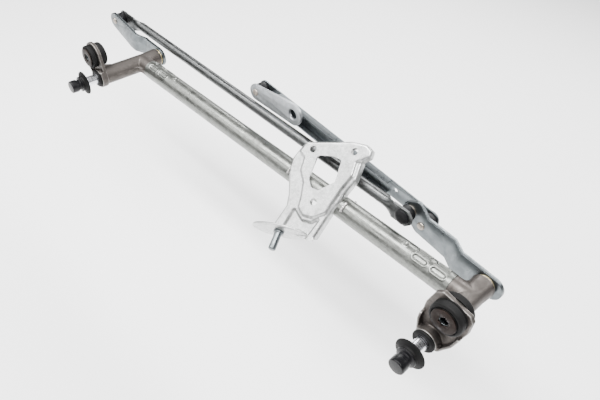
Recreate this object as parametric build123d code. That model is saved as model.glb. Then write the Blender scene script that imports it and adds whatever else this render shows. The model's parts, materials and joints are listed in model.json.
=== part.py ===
from build123d import *
import math
import os
from dataclasses import dataclass

os.makedirs("parts", exist_ok=True)

# Windshield wiper linkage: a frame tube crimped onto two die-cast spindle housings, a pressed
# motor bracket, two wiper spindles with levers, a long link between the levers and a short link
# to the motor crank. Millimetres. In the design frame X runs along the tube from the left
# spindle to the right one, the spindles point towards -Y, and Z is up.

# ---------------------------------------------------------------- driving dimensions
SPINDLE_SPACING = 556.0
TUBE_D = 25.0
TUBE_WALL = 1.5
LEFT_TUBE_GAP = 25.0
RIGHT_TUBE_GAP = 20.0

SHAFT_D = 13.0
RUNNING_CLEARANCE = 0.04
STATIC_GAP = 0.1
FREE_GAP = 0.3

BUSH_WALL = 2.0
BUSH_LENGTH = 20.0
BUSH_FLANGE_T = 1.5
BUSH_SHOULDER = 2.0
COUNTERBORE_SHOULDER = 1.5
COUNTERBORE_DEPTH = 7.0
BARREL_NOSE_WALL = 1.7
BARREL_FLARE = 1.3
BARREL_FLARE_LENGTH = 16.0
BARREL_FRONT_Y = -69.0
BARREL_REAR_Y = 24.0

THRUST_WASHER_D = 21.5
THRUST_WASHER_T = 1.3
FRONT_WASHER_GAP = 0.5
FRONT_WASHER_T = 1.2
CIRCLIP_T = 1.2
CIRCLIP_WIDTH = 2.0
CIRCLIP_GROOVE_DEPTH = 0.6
CIRCLIP_GAP_ANGLE = 40.0
SEAL_FLANGE_T = 3.0
SEAL_PLUG_T = 2.1

SHAFT_FRONT_Y = -107.0
SPLINE_START_Y = -88.0
SPLINE_LENGTH = 9.0
SPLINE_TAPER = 1.2
THREAD_STEP = 0.5

CAP_GRIP = 0.15
CAP_SIDE_WALL = 3.15
CAP_WALL = 1.6
CAP_WAIST_DEPTH = 1.2
CAP_LIP_HEIGHT = 1.9
CAP_NECK_WALL = 1.2
SKIRT_FLARE = 7.8
SKIRT_T = 1.6
SKIRT_REAR_Y = -88.6

LEVER_T = 4.5
LEVER_HUB_R = 13.0
RIGHT_HUB_LOBE = 6.0
LEVER_SEAT_STEP = 1.5
LEVER_LENGTH = 103.0
LEVER_REST_TILT = 10.5
LEFT_JOGGLE = -8.0
RIGHT_JOGGLE = 8.0
JOGGLE_START = 34.0
JOGGLE_RUN = 14.0
REAR_BALL_RADIUS = 86.0
REAR_BALL_ANGLE = 5.5

BALL_D = 13.0
BALL_CLEARANCE = 0.1
BALL_STANDOFF = 2.5
BALL_NECK_D = 8.0
BALL_COLLAR_D = 13.0
BALL_COLLAR_T = 2.0
BALL_TAIL_D = 7.0
RIVET_HEAD_D = 9.0
RIVET_HEAD_T = 1.4
SOCKET_WALL = 2.5
SOCKET_NECK_WALL = 1.0
SOCKET_MOUTH_GRIP = 1.1
SOCKET_LIFT = 0.8
PLATE_FROM_BALL = 4.0
SOCKET_CAP_T = 3.6
SOCKET_CAP_INSET = 0.2

LINK_TUBE_D = 13.0
LINK_TUBE_WALL = 1.5
LINK_FLAT_T = 3.0
LINK_FLAT_MARGIN = 0.8
LINK_LEFT_FLAT = 28.0
LINK_RIGHT_FLAT = 14.0
LINK_TAPER = 13.0
LINK_END_MARGIN = 4.0
LINK_END_CHAMFER = 6.0

SHORT_LINK_LENGTH = 266.0
SHORT_LINK_TILT = 6.6
CHANNEL_T = 2.0
CHANNEL_MARGIN = 1.0
CHANNEL_DEPTH = 7.0
CHANNEL_END_FLAT = 28.0
CHANNEL_TONGUE = 58.0
CHANNEL_HOLE_D = 5.0
CHANNEL_HOLE_OFFSET = 49.0

CRANK_RADIUS = 66.0
CRANK_TILT = 2.0
CRANK_T = 4.0
CRANK_BALL_END_R = 10.5
CRANK_SHAFT_END_WALL = 8.0
CRANK_HOLE_D = 12.0
CRANK_HOLE_CHAMFER = 1.0

EAR_T = 4.5
LEFT_EAR_FRONT_Y = -65.0
RIGHT_EAR_FRONT_Y = -60.0
EAR_R = 18.0
EAR_BASE_R = 13.5
EAR_RIM_T = 2.5
EAR_RIM_H = 5.0
EAR_HOLE_D = 24.0
LEFT_EAR_X = -12.0
LEFT_EAR_Z = 27.0
RIGHT_EAR_X = 10.5
RIGHT_EAR_Z = 40.0
LEFT_GROMMET_D = 30.5
LEFT_GROMMET_FRONT_T = 7.5
LEFT_GROMMET_REAR_T = 9.5
RIGHT_GROMMET_D = 33.0
RIGHT_GROMMET_FRONT_T = 9.5
RIGHT_GROMMET_REAR_T = 7.5
SLEEVE_BORE_D = 8.4
SLEEVE_WALL = 1.8
SLEEVE_COLLAR = 2.0
SLEEVE_COLLAR_T = 1.5
GROMMET_WASHER_D = 24.6
GROMMET_WASHER_T = 1.5

BRACKET_FROM_RIGHT = 191.0
BRACKET_UP = 23.0
BRACKET_TILT = 45.0
BRACKET_TWIST = 15.0
BRACKET_SHEET_T = 2.0
BRACKET_RISE = 2.5
BRACKET_SKIRT = 7.0
MOTOR_BOLT_PCD = 71.2
MOTOR_BOLT_HOLE_D = 8.2
MOTOR_COLLAR_WALL = 1.6
MOTOR_COLLAR_DEPTH = 4.0
MOTOR_BOLT_ANGLES = (146.0, 56.0, -99.0)
END_PLATE_LENGTH = 70.0
END_PLATE_WIDTH = 32.0
END_PLATE_T = 2.5
END_PLATE_SPOT = (-34.5, -76.0)
STUD_OFFSET = (-0.4, 0.0)
STUD_D = 8.5
STUD_LENGTH = 23.0
STUD_COLLAR_D = 12.0
STUD_COLLAR_T = 2.5

# ---------------------------------------------------------------- derived sizes and places
BARREL_BORE_D = SHAFT_D + 2 * BUSH_WALL
BUSH_FLANGE_D = BARREL_BORE_D + 2 * BUSH_SHOULDER
COUNTERBORE_D = BARREL_BORE_D + 2 * COUNTERBORE_SHOULDER
BARREL_D = COUNTERBORE_D + 2 * BARREL_NOSE_WALL
BARREL_FLARE_D = BARREL_D + 2 * BARREL_FLARE
FRONT_WASHER_D = COUNTERBORE_D - 2 * FRONT_WASHER_GAP
CIRCLIP_D = SHAFT_D + 2 * CIRCLIP_WIDTH
SEAL_D = BARREL_D
SPLINE_TIP_D = SHAFT_D - 2 * SPLINE_TAPER
THREAD_D = SPLINE_TIP_D - 2 * THREAD_STEP
CAP_D = THREAD_D + 2 * (CAP_GRIP + CAP_SIDE_WALL)
CAP_WAIST_D = CAP_D - 2 * CAP_WAIST_DEPTH
CAP_LIP_D = CAP_D + 2 * CAP_LIP_HEIGHT
CAP_NECK_D = SHAFT_D + 2 * CAP_NECK_WALL
SKIRT_D = CAP_NECK_D + 2 * SKIRT_FLARE
LEVER_SEAT_D = SHAFT_D - 2 * LEVER_SEAT_STEP
BALL_OFFSET = BALL_D / 2 + BALL_STANDOFF
SOCKET_D = BALL_D + 2 * SOCKET_WALL
SOCKET_NECK_D = BALL_D + 2 * SOCKET_NECK_WALL
SOCKET_MOUTH_D = BALL_D - 2 * SOCKET_MOUTH_GRIP
SOCKET_START = BALL_COLLAR_T + SOCKET_LIFT
SOCKET_CAP_D = SOCKET_D - 2 * SOCKET_CAP_INSET
LINK_PLATE_OFFSET = BALL_OFFSET + PLATE_FROM_BALL
LINK_FLAT_W = SOCKET_D + 2 * LINK_FLAT_MARGIN
LINK_END_REACH = SOCKET_NECK_D / 2 + LINK_END_MARGIN
CHANNEL_W = SOCKET_D + 2 * CHANNEL_MARGIN
CRANK_SHAFT_END_R = CRANK_HOLE_D / 2 + CRANK_SHAFT_END_WALL
SLEEVE_D = SLEEVE_BORE_D + 2 * SLEEVE_WALL
SLEEVE_COLLAR_D = SLEEVE_D + 2 * SLEEVE_COLLAR
BRACKET_X = SPINDLE_SPACING - BRACKET_FROM_RIGHT
LEVER_FRONT_Y = BARREL_REAR_Y + BUSH_FLANGE_T + STATIC_GAP + THRUST_WASHER_T + STATIC_GAP
LEVER_REAR_Y = LEVER_FRONT_Y + LEVER_T
LEFT_TIP_FRONT_Y = LEVER_FRONT_Y + LEFT_JOGGLE
LEFT_TIP_REAR_Y = LEFT_TIP_FRONT_Y + LEVER_T
RIGHT_TIP_FRONT_Y = LEVER_FRONT_Y + RIGHT_JOGGLE
RIGHT_TIP_REAR_Y = RIGHT_TIP_FRONT_Y + LEVER_T
COUNTERBORE_Y = BARREL_FRONT_Y + COUNTERBORE_DEPTH
CAP_FRONT_Y = SHAFT_FRONT_Y - CAP_WALL - FREE_GAP
TUBE_LENGTH = SPINDLE_SPACING - LEFT_TUBE_GAP - RIGHT_TUBE_GAP
TUBE_BORE_D = TUBE_D - 2 * TUBE_WALL


def swing(radius, angle):
    """X and Z of a point on a lever, at an angle above the -X direction."""
    return -radius * math.cos(math.radians(angle)), radius * math.sin(math.radians(angle))


BALL_X, BALL_Z = swing(LEVER_LENGTH, LEVER_REST_TILT)
REAR_BALL_X, REAR_BALL_Z = swing(REAR_BALL_RADIUS, LEVER_REST_TILT - REAR_BALL_ANGLE)
LEFT_BALL_Y = LEFT_TIP_REAR_Y + BALL_OFFSET
FRONT_BALL_Y = RIGHT_TIP_FRONT_Y - BALL_OFFSET
CRANK_REAR_Y = RIGHT_TIP_REAR_Y
CRANK_FRONT_Y = CRANK_REAR_Y - CRANK_T
CRANK_BALL_X = SPINDLE_SPACING + REAR_BALL_X - SHORT_LINK_LENGTH * math.cos(math.radians(SHORT_LINK_TILT))
CRANK_BALL_Z = REAR_BALL_Z + SHORT_LINK_LENGTH * math.sin(math.radians(SHORT_LINK_TILT))


@dataclass
class Side:
    """What differs between the two ends of the frame."""
    name: str
    x: float
    direction: int
    tube_gap: float
    ear_x: float
    ear_z: float
    ear_front: float
    grommet_d: float
    grommet_front_t: float
    grommet_rear_t: float

    @property
    def ear_rear(self):
        return self.ear_front + EAR_T

    @property
    def sleeve_front(self):
        return self.ear_front - self.grommet_front_t - STATIC_GAP

    @property
    def sleeve_rear(self):
        return self.ear_rear + self.grommet_rear_t + STATIC_GAP


LEFT = Side("left", 0.0, 1, LEFT_TUBE_GAP, LEFT_EAR_X, LEFT_EAR_Z, LEFT_EAR_FRONT_Y,
            LEFT_GROMMET_D, LEFT_GROMMET_FRONT_T, LEFT_GROMMET_REAR_T)
RIGHT = Side("right", SPINDLE_SPACING, -1, RIGHT_TUBE_GAP, RIGHT_EAR_X, RIGHT_EAR_Z, RIGHT_EAR_FRONT_Y,
             RIGHT_GROMMET_D, RIGHT_GROMMET_FRONT_T, RIGHT_GROMMET_REAR_T)

# The row's origin is the middle of the left mounting sleeve.
DATUM = Vector(LEFT_EAR_X, (LEFT.sleeve_front + LEFT.sleeve_rear) / 2, LEFT_EAR_Z)


# ---------------------------------------------------------------- helpers
def facing(y, x=0.0, z=0.0):
    """Sketch plane that looks along +Y: its x is X, its y is Z and it extrudes towards -Y."""
    return Plane(origin=(x, y, z), x_dir=(1, 0, 0), z_dir=(0, -1, 0))


def slab(sketch, front_y, rear_y, x=0.0, z=0.0):
    """Extrude an XZ outline between two Y values."""
    return extrude(facing(rear_y, x, z) * sketch, amount=rear_y - front_y)


def disc(diameter, front_y, rear_y, x=0.0, z=0.0):
    return slab(Circle(diameter / 2), front_y, rear_y, x, z)


def ring(outer, inner, front_y, rear_y, x=0.0, z=0.0):
    return slab(Circle(outer / 2) - Circle(inner / 2), front_y, rear_y, x, z)


def turned(points, x=0.0, z=0.0):
    """Revolve a closed (radius, y) outline about the Y axis through x, z."""
    outline = make_face(Polyline(*[(r, y) for r, y in points], close=True))
    return Pos(x, 0, z) * revolve(outline, axis=Axis.Y)


def hull_of(*circles):
    """Outline that wraps circles given as (x, z, radius)."""
    sketch = Sketch() + [Pos(x, z) * Circle(r) for x, z, r in circles]
    return make_hull(sketch.edges())


def save(name, shape):
    export_step(Pos(*(-DATUM)) * shape, f"parts/{name}.step")


# ---------------------------------------------------------------- frame tube and housings
SLOT_LENGTH = 17.0
SLOT_WIDTH = 6.5
SLOT_DEPTH = 0.9
SLOT_ROWS = (27.0, -21.0, 180.0 + 27.0, 180.0 - 21.0)
SLOT_STARTS = (6.0, 28.0)
DIMPLE_START = 58.0


def crimp_slots(first_x, direction):
    """Pressed slots that lock a tube end onto its housing plug."""
    cutters = []
    for row in SLOT_ROWS:
        for start in SLOT_STARTS:
            middle = first_x + direction * (start + SLOT_LENGTH / 2)
            outline = Rot(0, 0, 90) * SlotOverall(SLOT_LENGTH, SLOT_WIDTH)
            plane = Plane(origin=(middle, 0, 0), x_dir=(0, 1, 0), z_dir=(0, 0, 1))
            cutter = extrude(plane.offset(TUBE_D / 2 - SLOT_DEPTH) * outline, amount=2 * SLOT_DEPTH)
            cutters.append(Rot(row, 0, 0) * cutter)
    dimple = Pos(first_x + direction * DIMPLE_START, 0, TUBE_D / 2 + 1.5) * Sphere(3.0)
    cutters.append(dimple)
    return cutters


def frame_tube():
    section = Plane.YZ * (Circle(TUBE_D / 2) - Circle(TUBE_BORE_D / 2))
    tube = Pos(LEFT_TUBE_GAP, 0, 0) * extrude(section, amount=TUBE_LENGTH)
    for cutter in crimp_slots(LEFT_TUBE_GAP, 1) + crimp_slots(LEFT_TUBE_GAP + TUBE_LENGTH, -1):
        tube -= cutter
    return tube


PLUG_LENGTH = 60.0
PLUG_WALL = 5.0
COLLAR_STEP = 0.3
WEB_T = 7.0
WEB_REACH = 17.0


def left_ear_outline():
    return hull_of((LEFT_EAR_X, LEFT_EAR_Z, EAR_R), (0, 0, EAR_BASE_R))


def right_ear_outline():
    points = [(-2, 57.5), (26.5, 52), (30, 47), (29.5, 32), (22.5, 9), (12, -9), (-10, -9),
              (-13, 2), (-15, 14), (-14, 34), (-8.5, 52)]
    return rounded(points, 2.5)


def housing(side, ear):
    """Spindle housing at x = 0 whose tube plug points along the side's direction."""
    body = disc(BARREL_D, BARREL_FRONT_Y, BARREL_REAR_Y)
    flare_y = BARREL_REAR_Y - BARREL_FLARE_LENGTH
    flare = [(0, flare_y), (BARREL_D / 2, flare_y), (BARREL_FLARE_D / 2, BARREL_REAR_Y),
             (0, BARREL_REAR_Y)]
    body += turned(flare)
    collar_plane = Plane(origin=(0, 0, 0), x_dir=(0, 1, 0), z_dir=(side.direction, 0, 0))
    body += extrude(collar_plane * Circle(TUBE_D / 2 - COLLAR_STEP), amount=side.tube_gap)
    plug = Circle(TUBE_BORE_D / 2 - STATIC_GAP / 2)
    body += extrude(collar_plane * plug, amount=side.tube_gap + PLUG_LENGTH)
    web_x = side.tube_gap - 1
    front_web = (-12 - WEB_REACH, -15)
    rear_web = (BARREL_REAR_Y - 2, 15)
    for far_y, near_y in (front_web, rear_web):
        edge_y = math.copysign(TUBE_BORE_D / 2 + 0.5, near_y)
        points = [(0, 0), (web_x, 0), (web_x, edge_y), (13, near_y), (9, far_y), (0, far_y)]
        web = make_face(Polyline(*[(side.direction * x, y) for x, y in points], close=True))
        body += extrude(Pos(0, 0, -WEB_T / 2) * web, amount=WEB_T)
    body += slab(ear, side.ear_front, side.ear_rear)
    rim = ear - offset(ear, -EAR_RIM_T)
    low_part = Pos(0, side.ear_z - side.grommet_d) * Rectangle(6 * EAR_R, side.grommet_d)
    rim_height = min(EAR_RIM_H, side.ear_front - BARREL_FRONT_Y)
    body += slab(rim & low_part, side.ear_front - rim_height, side.ear_front)
    body += rear_rib(side)
    body -= disc(EAR_HOLE_D, side.ear_front - 1, side.ear_rear + 1, side.ear_x, side.ear_z)
    body -= disc(BARREL_BORE_D, BARREL_FRONT_Y - 1, BARREL_REAR_Y + 1)
    body -= disc(COUNTERBORE_D, BARREL_FRONT_Y - 1, COUNTERBORE_Y)
    core_plane = collar_plane.offset(BARREL_D / 2 + 2)
    core = extrude(core_plane * Circle(TUBE_BORE_D / 2 - PLUG_WALL), amount=side.tube_gap + PLUG_LENGTH)
    return body - core


RIB_T = 4.0
RIB_RUN = 20.0


def rear_rib(side):
    """Buttress from the barrel up to the ear, behind it, that stays under the grommet."""
    reach = math.hypot(side.ear_x, side.ear_z) - side.grommet_d / 2 - FREE_GAP
    angle = math.degrees(math.atan2(side.ear_x, side.ear_z))
    start = side.ear_rear
    profile = Polyline((start - 1, 9), (start - 1, reach), (start + side.grommet_rear_t, reach),
                       (start + RIB_RUN, BARREL_D / 2 - 1), (start + RIB_RUN, 9), close=True)
    return Rot(0, angle, 0) * extrude(Plane.YZ.offset(-RIB_T / 2) * make_face(profile), amount=RIB_T)


# ---------------------------------------------------------------- pieces on a housing
def front_bush():
    inner = SHAFT_D + 2 * RUNNING_CLEARANCE
    return ring(BARREL_BORE_D, inner, COUNTERBORE_Y, COUNTERBORE_Y + BUSH_LENGTH)


def rear_bush():
    inner = SHAFT_D + 2 * RUNNING_CLEARANCE
    body = ring(BARREL_BORE_D, inner, BARREL_REAR_Y - BUSH_LENGTH, BARREL_REAR_Y)
    return body + ring(BUSH_FLANGE_D, inner, BARREL_REAR_Y, BARREL_REAR_Y + BUSH_FLANGE_T)


def nose_seal():
    inner = SHAFT_D / 2 + RUNNING_CLEARANCE
    plug = COUNTERBORE_D / 2
    face = BARREL_FRONT_Y - SEAL_FLANGE_T
    return turned([(inner, BARREL_FRONT_Y + SEAL_PLUG_T), (inner, face), (SEAL_D / 2 - 1.2, face),
                   (SEAL_D / 2, face + 1.2), (SEAL_D / 2, BARREL_FRONT_Y), (plug, BARREL_FRONT_Y),
                   (plug, BARREL_FRONT_Y + SEAL_PLUG_T)])


def grommet(side):
    outer = side.grommet_d / 2
    neck = EAR_HOLE_D / 2
    bore = SLEEVE_D / 2
    front = side.ear_front - side.grommet_front_t
    rear = side.ear_rear + side.grommet_rear_t
    return turned([(bore, front), (outer - 2.5, front), (outer, front + 3.0), (outer, side.ear_front),
                   (neck, side.ear_front), (neck, side.ear_rear), (outer, side.ear_rear), (outer, rear - 2.5),
                   (outer - 2, rear), (bore, rear)], side.ear_x, side.ear_z)


def grommet_sleeve(side):
    tube = ring(SLEEVE_D, SLEEVE_BORE_D, side.sleeve_front, side.sleeve_rear, side.ear_x, side.ear_z)
    end = side.sleeve_rear
    return tube + ring(SLEEVE_COLLAR_D, SLEEVE_BORE_D, end, end + SLEEVE_COLLAR_T, side.ear_x, side.ear_z)


STAR_POINTS = 6
STAR_OUTER_R = 5.9


def grommet_washer(side):
    """Retaining washer with a star-shaped hole that clears the bolt."""
    corners = []
    for index in range(2 * STAR_POINTS):
        radius = STAR_OUTER_R if index % 2 else SLEEVE_BORE_D / 2
        corners.append(Vector(radius, 0).rotate(Axis.Z, index * 180 / STAR_POINTS))
    star = make_face(Polyline(*corners, close=True))
    outline = Circle(GROMMET_WASHER_D / 2) - star
    return slab(outline, side.sleeve_front - GROMMET_WASHER_T, side.sleeve_front, side.ear_x, side.ear_z)


# ---------------------------------------------------------------- spindle and its small parts
def spindle_shaft():
    journal = SHAFT_D / 2
    groove = journal - CIRCLIP_GROOVE_DEPTH
    groove_rear = COUNTERBORE_Y - STATIC_GAP - FRONT_WASHER_T
    groove_front = groove_rear - CIRCLIP_T
    spline_end = SPLINE_START_Y - SPLINE_LENGTH
    shaft = turned([
        (0, LEVER_REAR_Y), (LEVER_SEAT_D / 2, LEVER_REAR_Y), (LEVER_SEAT_D / 2, LEVER_FRONT_Y),
        (journal, LEVER_FRONT_Y), (journal, groove_rear), (groove, groove_rear), (groove, groove_front),
        (journal, groove_front), (journal, SPLINE_START_Y), (SPLINE_TIP_D / 2, spline_end),
        (THREAD_D / 2, spline_end), (THREAD_D / 2, SHAFT_FRONT_Y + 1), (THREAD_D / 2 - 1, SHAFT_FRONT_Y),
        (0, SHAFT_FRONT_Y)])
    return shaft


def front_washer():
    rear = COUNTERBORE_Y - STATIC_GAP
    return ring(FRONT_WASHER_D, SHAFT_D + 2 * RUNNING_CLEARANCE, rear - FRONT_WASHER_T, rear)


def circlip():
    rear = COUNTERBORE_Y - STATIC_GAP - FRONT_WASHER_T
    inner = SHAFT_D - 2 * CIRCLIP_GROOVE_DEPTH
    outline = Circle(CIRCLIP_D / 2) - Circle(inner / 2)
    half = math.radians(CIRCLIP_GAP_ANGLE / 2)
    reach = CIRCLIP_D
    rise = reach * math.tan(half)
    wedge = make_face(Polyline((0, 0), (reach, rise), (reach, -rise), close=True))
    return slab(outline - wedge, rear - CIRCLIP_T, rear)


def thrust_washer():
    rear = LEVER_FRONT_Y - STATIC_GAP
    return ring(THRUST_WASHER_D, SHAFT_D + 2 * RUNNING_CLEARANCE, rear - THRUST_WASHER_T, rear)


def spindle_cap():
    """Push-on cap over the thread and spline, with a waist, a lip and a rear neck."""
    grip = CAP_GRIP
    spline_end = SPLINE_START_Y - SPLINE_LENGTH
    slope = (SHAFT_D - SPLINE_TIP_D) / 2 / SPLINE_LENGTH
    neck_rear = SPLINE_START_Y - 1
    inner_rear = SHAFT_D / 2 - slope * 1 + grip
    face = CAP_D / 2
    return turned([
        (0, CAP_FRONT_Y), (face - 0.8, CAP_FRONT_Y), (face, CAP_FRONT_Y + 0.8), (face, CAP_FRONT_Y + 8.5),
        (CAP_WAIST_D / 2, CAP_FRONT_Y + 9.7), (CAP_WAIST_D / 2, CAP_FRONT_Y + 12.6),
        (CAP_LIP_D / 2, CAP_FRONT_Y + 13.4), (CAP_LIP_D / 2, CAP_FRONT_Y + 14.6),
        (CAP_NECK_D / 2, CAP_FRONT_Y + 15.0), (CAP_NECK_D / 2, neck_rear), (inner_rear, neck_rear),
        (SPLINE_TIP_D / 2 + grip, spline_end), (THREAD_D / 2 + grip, spline_end - 0.6),
        (THREAD_D / 2 + grip, SHAFT_FRONT_Y - FREE_GAP), (0, SHAFT_FRONT_Y - FREE_GAP)])


def spindle_skirt():
    neck = CAP_NECK_D / 2
    front = CAP_FRONT_Y + 15.0 + STATIC_GAP
    tip = SKIRT_D / 2
    return turned([(neck, front), (neck + 1.6, front), (neck + 2.6, front + 2.2),
                   (tip, SKIRT_REAR_Y - SKIRT_T * 0.6), (tip, SKIRT_REAR_Y),
                   (neck + 1.8, SKIRT_REAR_Y - 1.4), (neck, SKIRT_REAR_Y - 1.4)])


# ---------------------------------------------------------------- levers and ball joints
def joggled(outline, joggle, length):
    """Sheet lever with its hub at x = 0, pointing along -X, whose tip is offset by joggle in Y."""
    front = LEVER_FRONT_Y
    tip = front + joggle
    bend_a = -JOGGLE_START
    bend_b = -JOGGLE_START - JOGGLE_RUN
    side = Polyline((40, front), (bend_a, front), (bend_b, tip), (-length - 40, tip),
                    (-length - 40, tip + LEVER_T), (bend_b, tip + LEVER_T),
                    (bend_a, front + LEVER_T), (40, front + LEVER_T), close=True)
    band = extrude(Pos(0, 0, -60) * make_face(side), amount=120)
    reach = abs(joggle) + LEVER_T + 5
    return band & slab(outline, front - reach, front + reach)


def lever_holes(body, places, front, rear):
    for x, z, diameter in places:
        body -= disc(diameter, front - 20, rear + 20, x, z)
    return body


def left_lever():
    tip = (-LEVER_LENGTH, 0)
    outline = hull_of((0, 0, LEVER_HUB_R), (-30, -4, 13)) + hull_of((-30, -4, 13), (-58, -4, 15))
    outline += hull_of((-58, -4, 15), (tip[0], tip[1], 11.5))
    body = joggled(outline, LEFT_JOGGLE, LEVER_LENGTH)
    body = lever_holes(body, [(0, 0, LEVER_SEAT_D), (tip[0], tip[1], BALL_TAIL_D)], 0, 60)
    return Rot(0, LEVER_REST_TILT, 0) * body


def right_lever():
    """The outline turns up at the tip, past the rear ball, to carry the front ball."""
    rear_x, rear_z = swing(REAR_BALL_RADIUS, -REAR_BALL_ANGLE)
    outline = hull_of((RIGHT_HUB_LOBE, 0, LEVER_HUB_R), (-34, -5, 15))
    outline += hull_of((-34, -5, 15), (rear_x, rear_z + 1, 13))
    outline += hull_of((rear_x, rear_z + 1, 13), (-LEVER_LENGTH, 0, 10.5), (-LEVER_LENGTH + 5, 11, 5))
    body = joggled(outline, RIGHT_JOGGLE, LEVER_LENGTH)
    holes = [(0, 0, LEVER_SEAT_D), (-LEVER_LENGTH, 0, BALL_TAIL_D), (rear_x, rear_z, BALL_TAIL_D)]
    return Rot(0, LEVER_REST_TILT, 0) * lever_holes(body, holes, 0, 60)


def ball_stud(face, outward, plate):
    """Riveted ball stud on a plate's face at y = face, with outward = +1 or -1 along Y."""
    def y(distance):
        return face + outward * distance
    radius = BALL_D / 2
    body = Pos(0, y(BALL_OFFSET), 0) * Sphere(radius)
    low, high = sorted((y(0), y(BALL_OFFSET)))
    body += disc(BALL_NECK_D, low, high)
    low, high = sorted((y(0), y(BALL_COLLAR_T)))
    body += disc(BALL_COLLAR_D, low, high)
    low, high = sorted((y(0), y(-plate)))
    body += disc(BALL_TAIL_D, low, high)
    head = [(0, y(-plate)), (RIVET_HEAD_D / 2, y(-plate)),
            (RIVET_HEAD_D / 2 - 0.6, y(-plate - 0.7 * RIVET_HEAD_T)),
            (RIVET_HEAD_D / 4, y(-plate - RIVET_HEAD_T)), (0, y(-plate - RIVET_HEAD_T))]
    return body + turned(head)


def ball_socket(face, outward, plate_t):
    """Plastic cup round the ball: it opens towards the lever and plugs through the link plate."""
    def y(distance):
        return face + outward * distance
    shoulder = LINK_PLATE_OFFSET - plate_t / 2
    end = LINK_PLATE_OFFSET + plate_t / 2
    outer = SOCKET_D / 2
    neck = SOCKET_NECK_D / 2
    body = turned([(0, y(SOCKET_START)), (outer - 1, y(SOCKET_START)), (outer, y(SOCKET_START + 1)),
                   (outer, y(shoulder)), (neck, y(shoulder)), (neck, y(end)), (0, y(end))])
    body -= Pos(0, y(BALL_OFFSET), 0) * Sphere(BALL_D / 2 + BALL_CLEARANCE)
    low, high = sorted((y(SOCKET_START - 1), y(BALL_OFFSET - 3)))
    return body - disc(SOCKET_MOUTH_D, low, high)


def socket_cap(face, outward, plate_t):
    """Domed cap that closes the cup on the far side of the link plate."""
    def y(distance):
        return face + outward * distance
    start = LINK_PLATE_OFFSET + plate_t / 2
    end = start + SOCKET_CAP_T
    outer = SOCKET_CAP_D / 2
    profile = [(0, y(start)), (outer, y(start)), (outer, y(start + 0.45 * SOCKET_CAP_T)),
               (outer - 1.6, y(start + 0.8 * SOCKET_CAP_T)), (outer - 4.4, y(end)), (0, y(end))]
    body = turned(profile)
    return body - Pos(0, y(BALL_OFFSET), 0) * Sphere(BALL_D / 2 + BALL_CLEARANCE)


# ---------------------------------------------------------------- long link
LINK_SHIFT = LINK_TUBE_D / 2 - LINK_FLAT_T / 2
LINK_BALL_SPAN_Y = FRONT_BALL_Y - LEFT_BALL_Y
LINK_BALL_STEP = 2 * (LINK_PLATE_OFFSET - BALL_OFFSET)
LINK_LENGTH = math.sqrt(SPINDLE_SPACING ** 2 + LINK_BALL_SPAN_Y ** 2 - LINK_BALL_STEP ** 2)
LINK_SPAN_YAW = math.atan2(LINK_BALL_SPAN_Y, SPINDLE_SPACING)
LINK_YAW = math.degrees(LINK_SPAN_YAW - math.atan2(LINK_BALL_STEP, LINK_LENGTH))


def place_long(shape):
    """Move a shape from the link's own frame, whose origin is the left plate's middle."""
    to_ball = Vector(0, LINK_PLATE_OFFSET - BALL_OFFSET, 0).rotate(Axis.Z, LINK_YAW)
    origin = Vector(BALL_X, LEFT_BALL_Y, BALL_Z) + to_ball
    return Pos(*origin) * Rot(0, 0, LINK_YAW) * shape


def link_end(flat, taper, hole_d):
    """Flattened end at x = 0, with its corners cut off, that swells into the round tube towards +X."""
    half_w = LINK_FLAT_W / 2
    cut = LINK_END_CHAMFER
    reach = LINK_END_REACH
    eye = Polyline((flat, half_w), (cut - reach, half_w), (-reach, half_w - cut), (-reach, cut - half_w),
                   (cut - reach, -half_w), (flat, -half_w), close=True)
    plate = slab(make_face(eye), -LINK_FLAT_T / 2, LINK_FLAT_T / 2)
    start = Plane(origin=(flat, 0, 0), x_dir=(0, 1, 0), z_dir=(1, 0, 0))
    stop = Plane(origin=(flat + taper, LINK_SHIFT, 0), x_dir=(0, 1, 0), z_dir=(1, 0, 0))
    slot = Rot(0, 0, 90) * SlotOverall(LINK_FLAT_W, LINK_FLAT_T)
    swell = loft([start * slot, stop * Circle(LINK_TUBE_D / 2)])
    return plate + swell - disc(hole_d, -LINK_FLAT_T, LINK_FLAT_T)


def long_link():
    left = link_end(LINK_LEFT_FLAT, LINK_TAPER, SOCKET_NECK_D)
    right = link_end(LINK_RIGHT_FLAT, LINK_TAPER, SOCKET_NECK_D)
    right = Pos(LINK_LENGTH, 0, 0) * mirror(right, about=Plane.YZ)
    start = LINK_LEFT_FLAT + LINK_TAPER
    length = LINK_LENGTH - start - LINK_RIGHT_FLAT - LINK_TAPER
    section = Plane.YZ * (Circle(LINK_TUBE_D / 2) - Circle(LINK_TUBE_D / 2 - LINK_TUBE_WALL))
    tube = Pos(start, LINK_SHIFT, 0) * extrude(section, amount=length)
    return place_long(left + tube + right)


def long_left(piece):
    """Socket pieces of the left end: the lever lies in front of the link."""
    return place_long(piece(-LINK_PLATE_OFFSET, 1, LINK_FLAT_T))


def long_right(piece):
    return place_long(Pos(LINK_LENGTH, 0, 0) * piece(LINK_PLATE_OFFSET, -1, LINK_FLAT_T))


# ---------------------------------------------------------------- short link and crank
def place_short(shape):
    """Move a shape from the short link's frame: origin at the lever's ball axis, link along -X."""
    return Pos(SPINDLE_SPACING + REAR_BALL_X, RIGHT_TIP_REAR_Y + LINK_PLATE_OFFSET, REAR_BALL_Z) * \
        Rot(0, SHORT_LINK_TILT, 0) * shape


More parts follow.
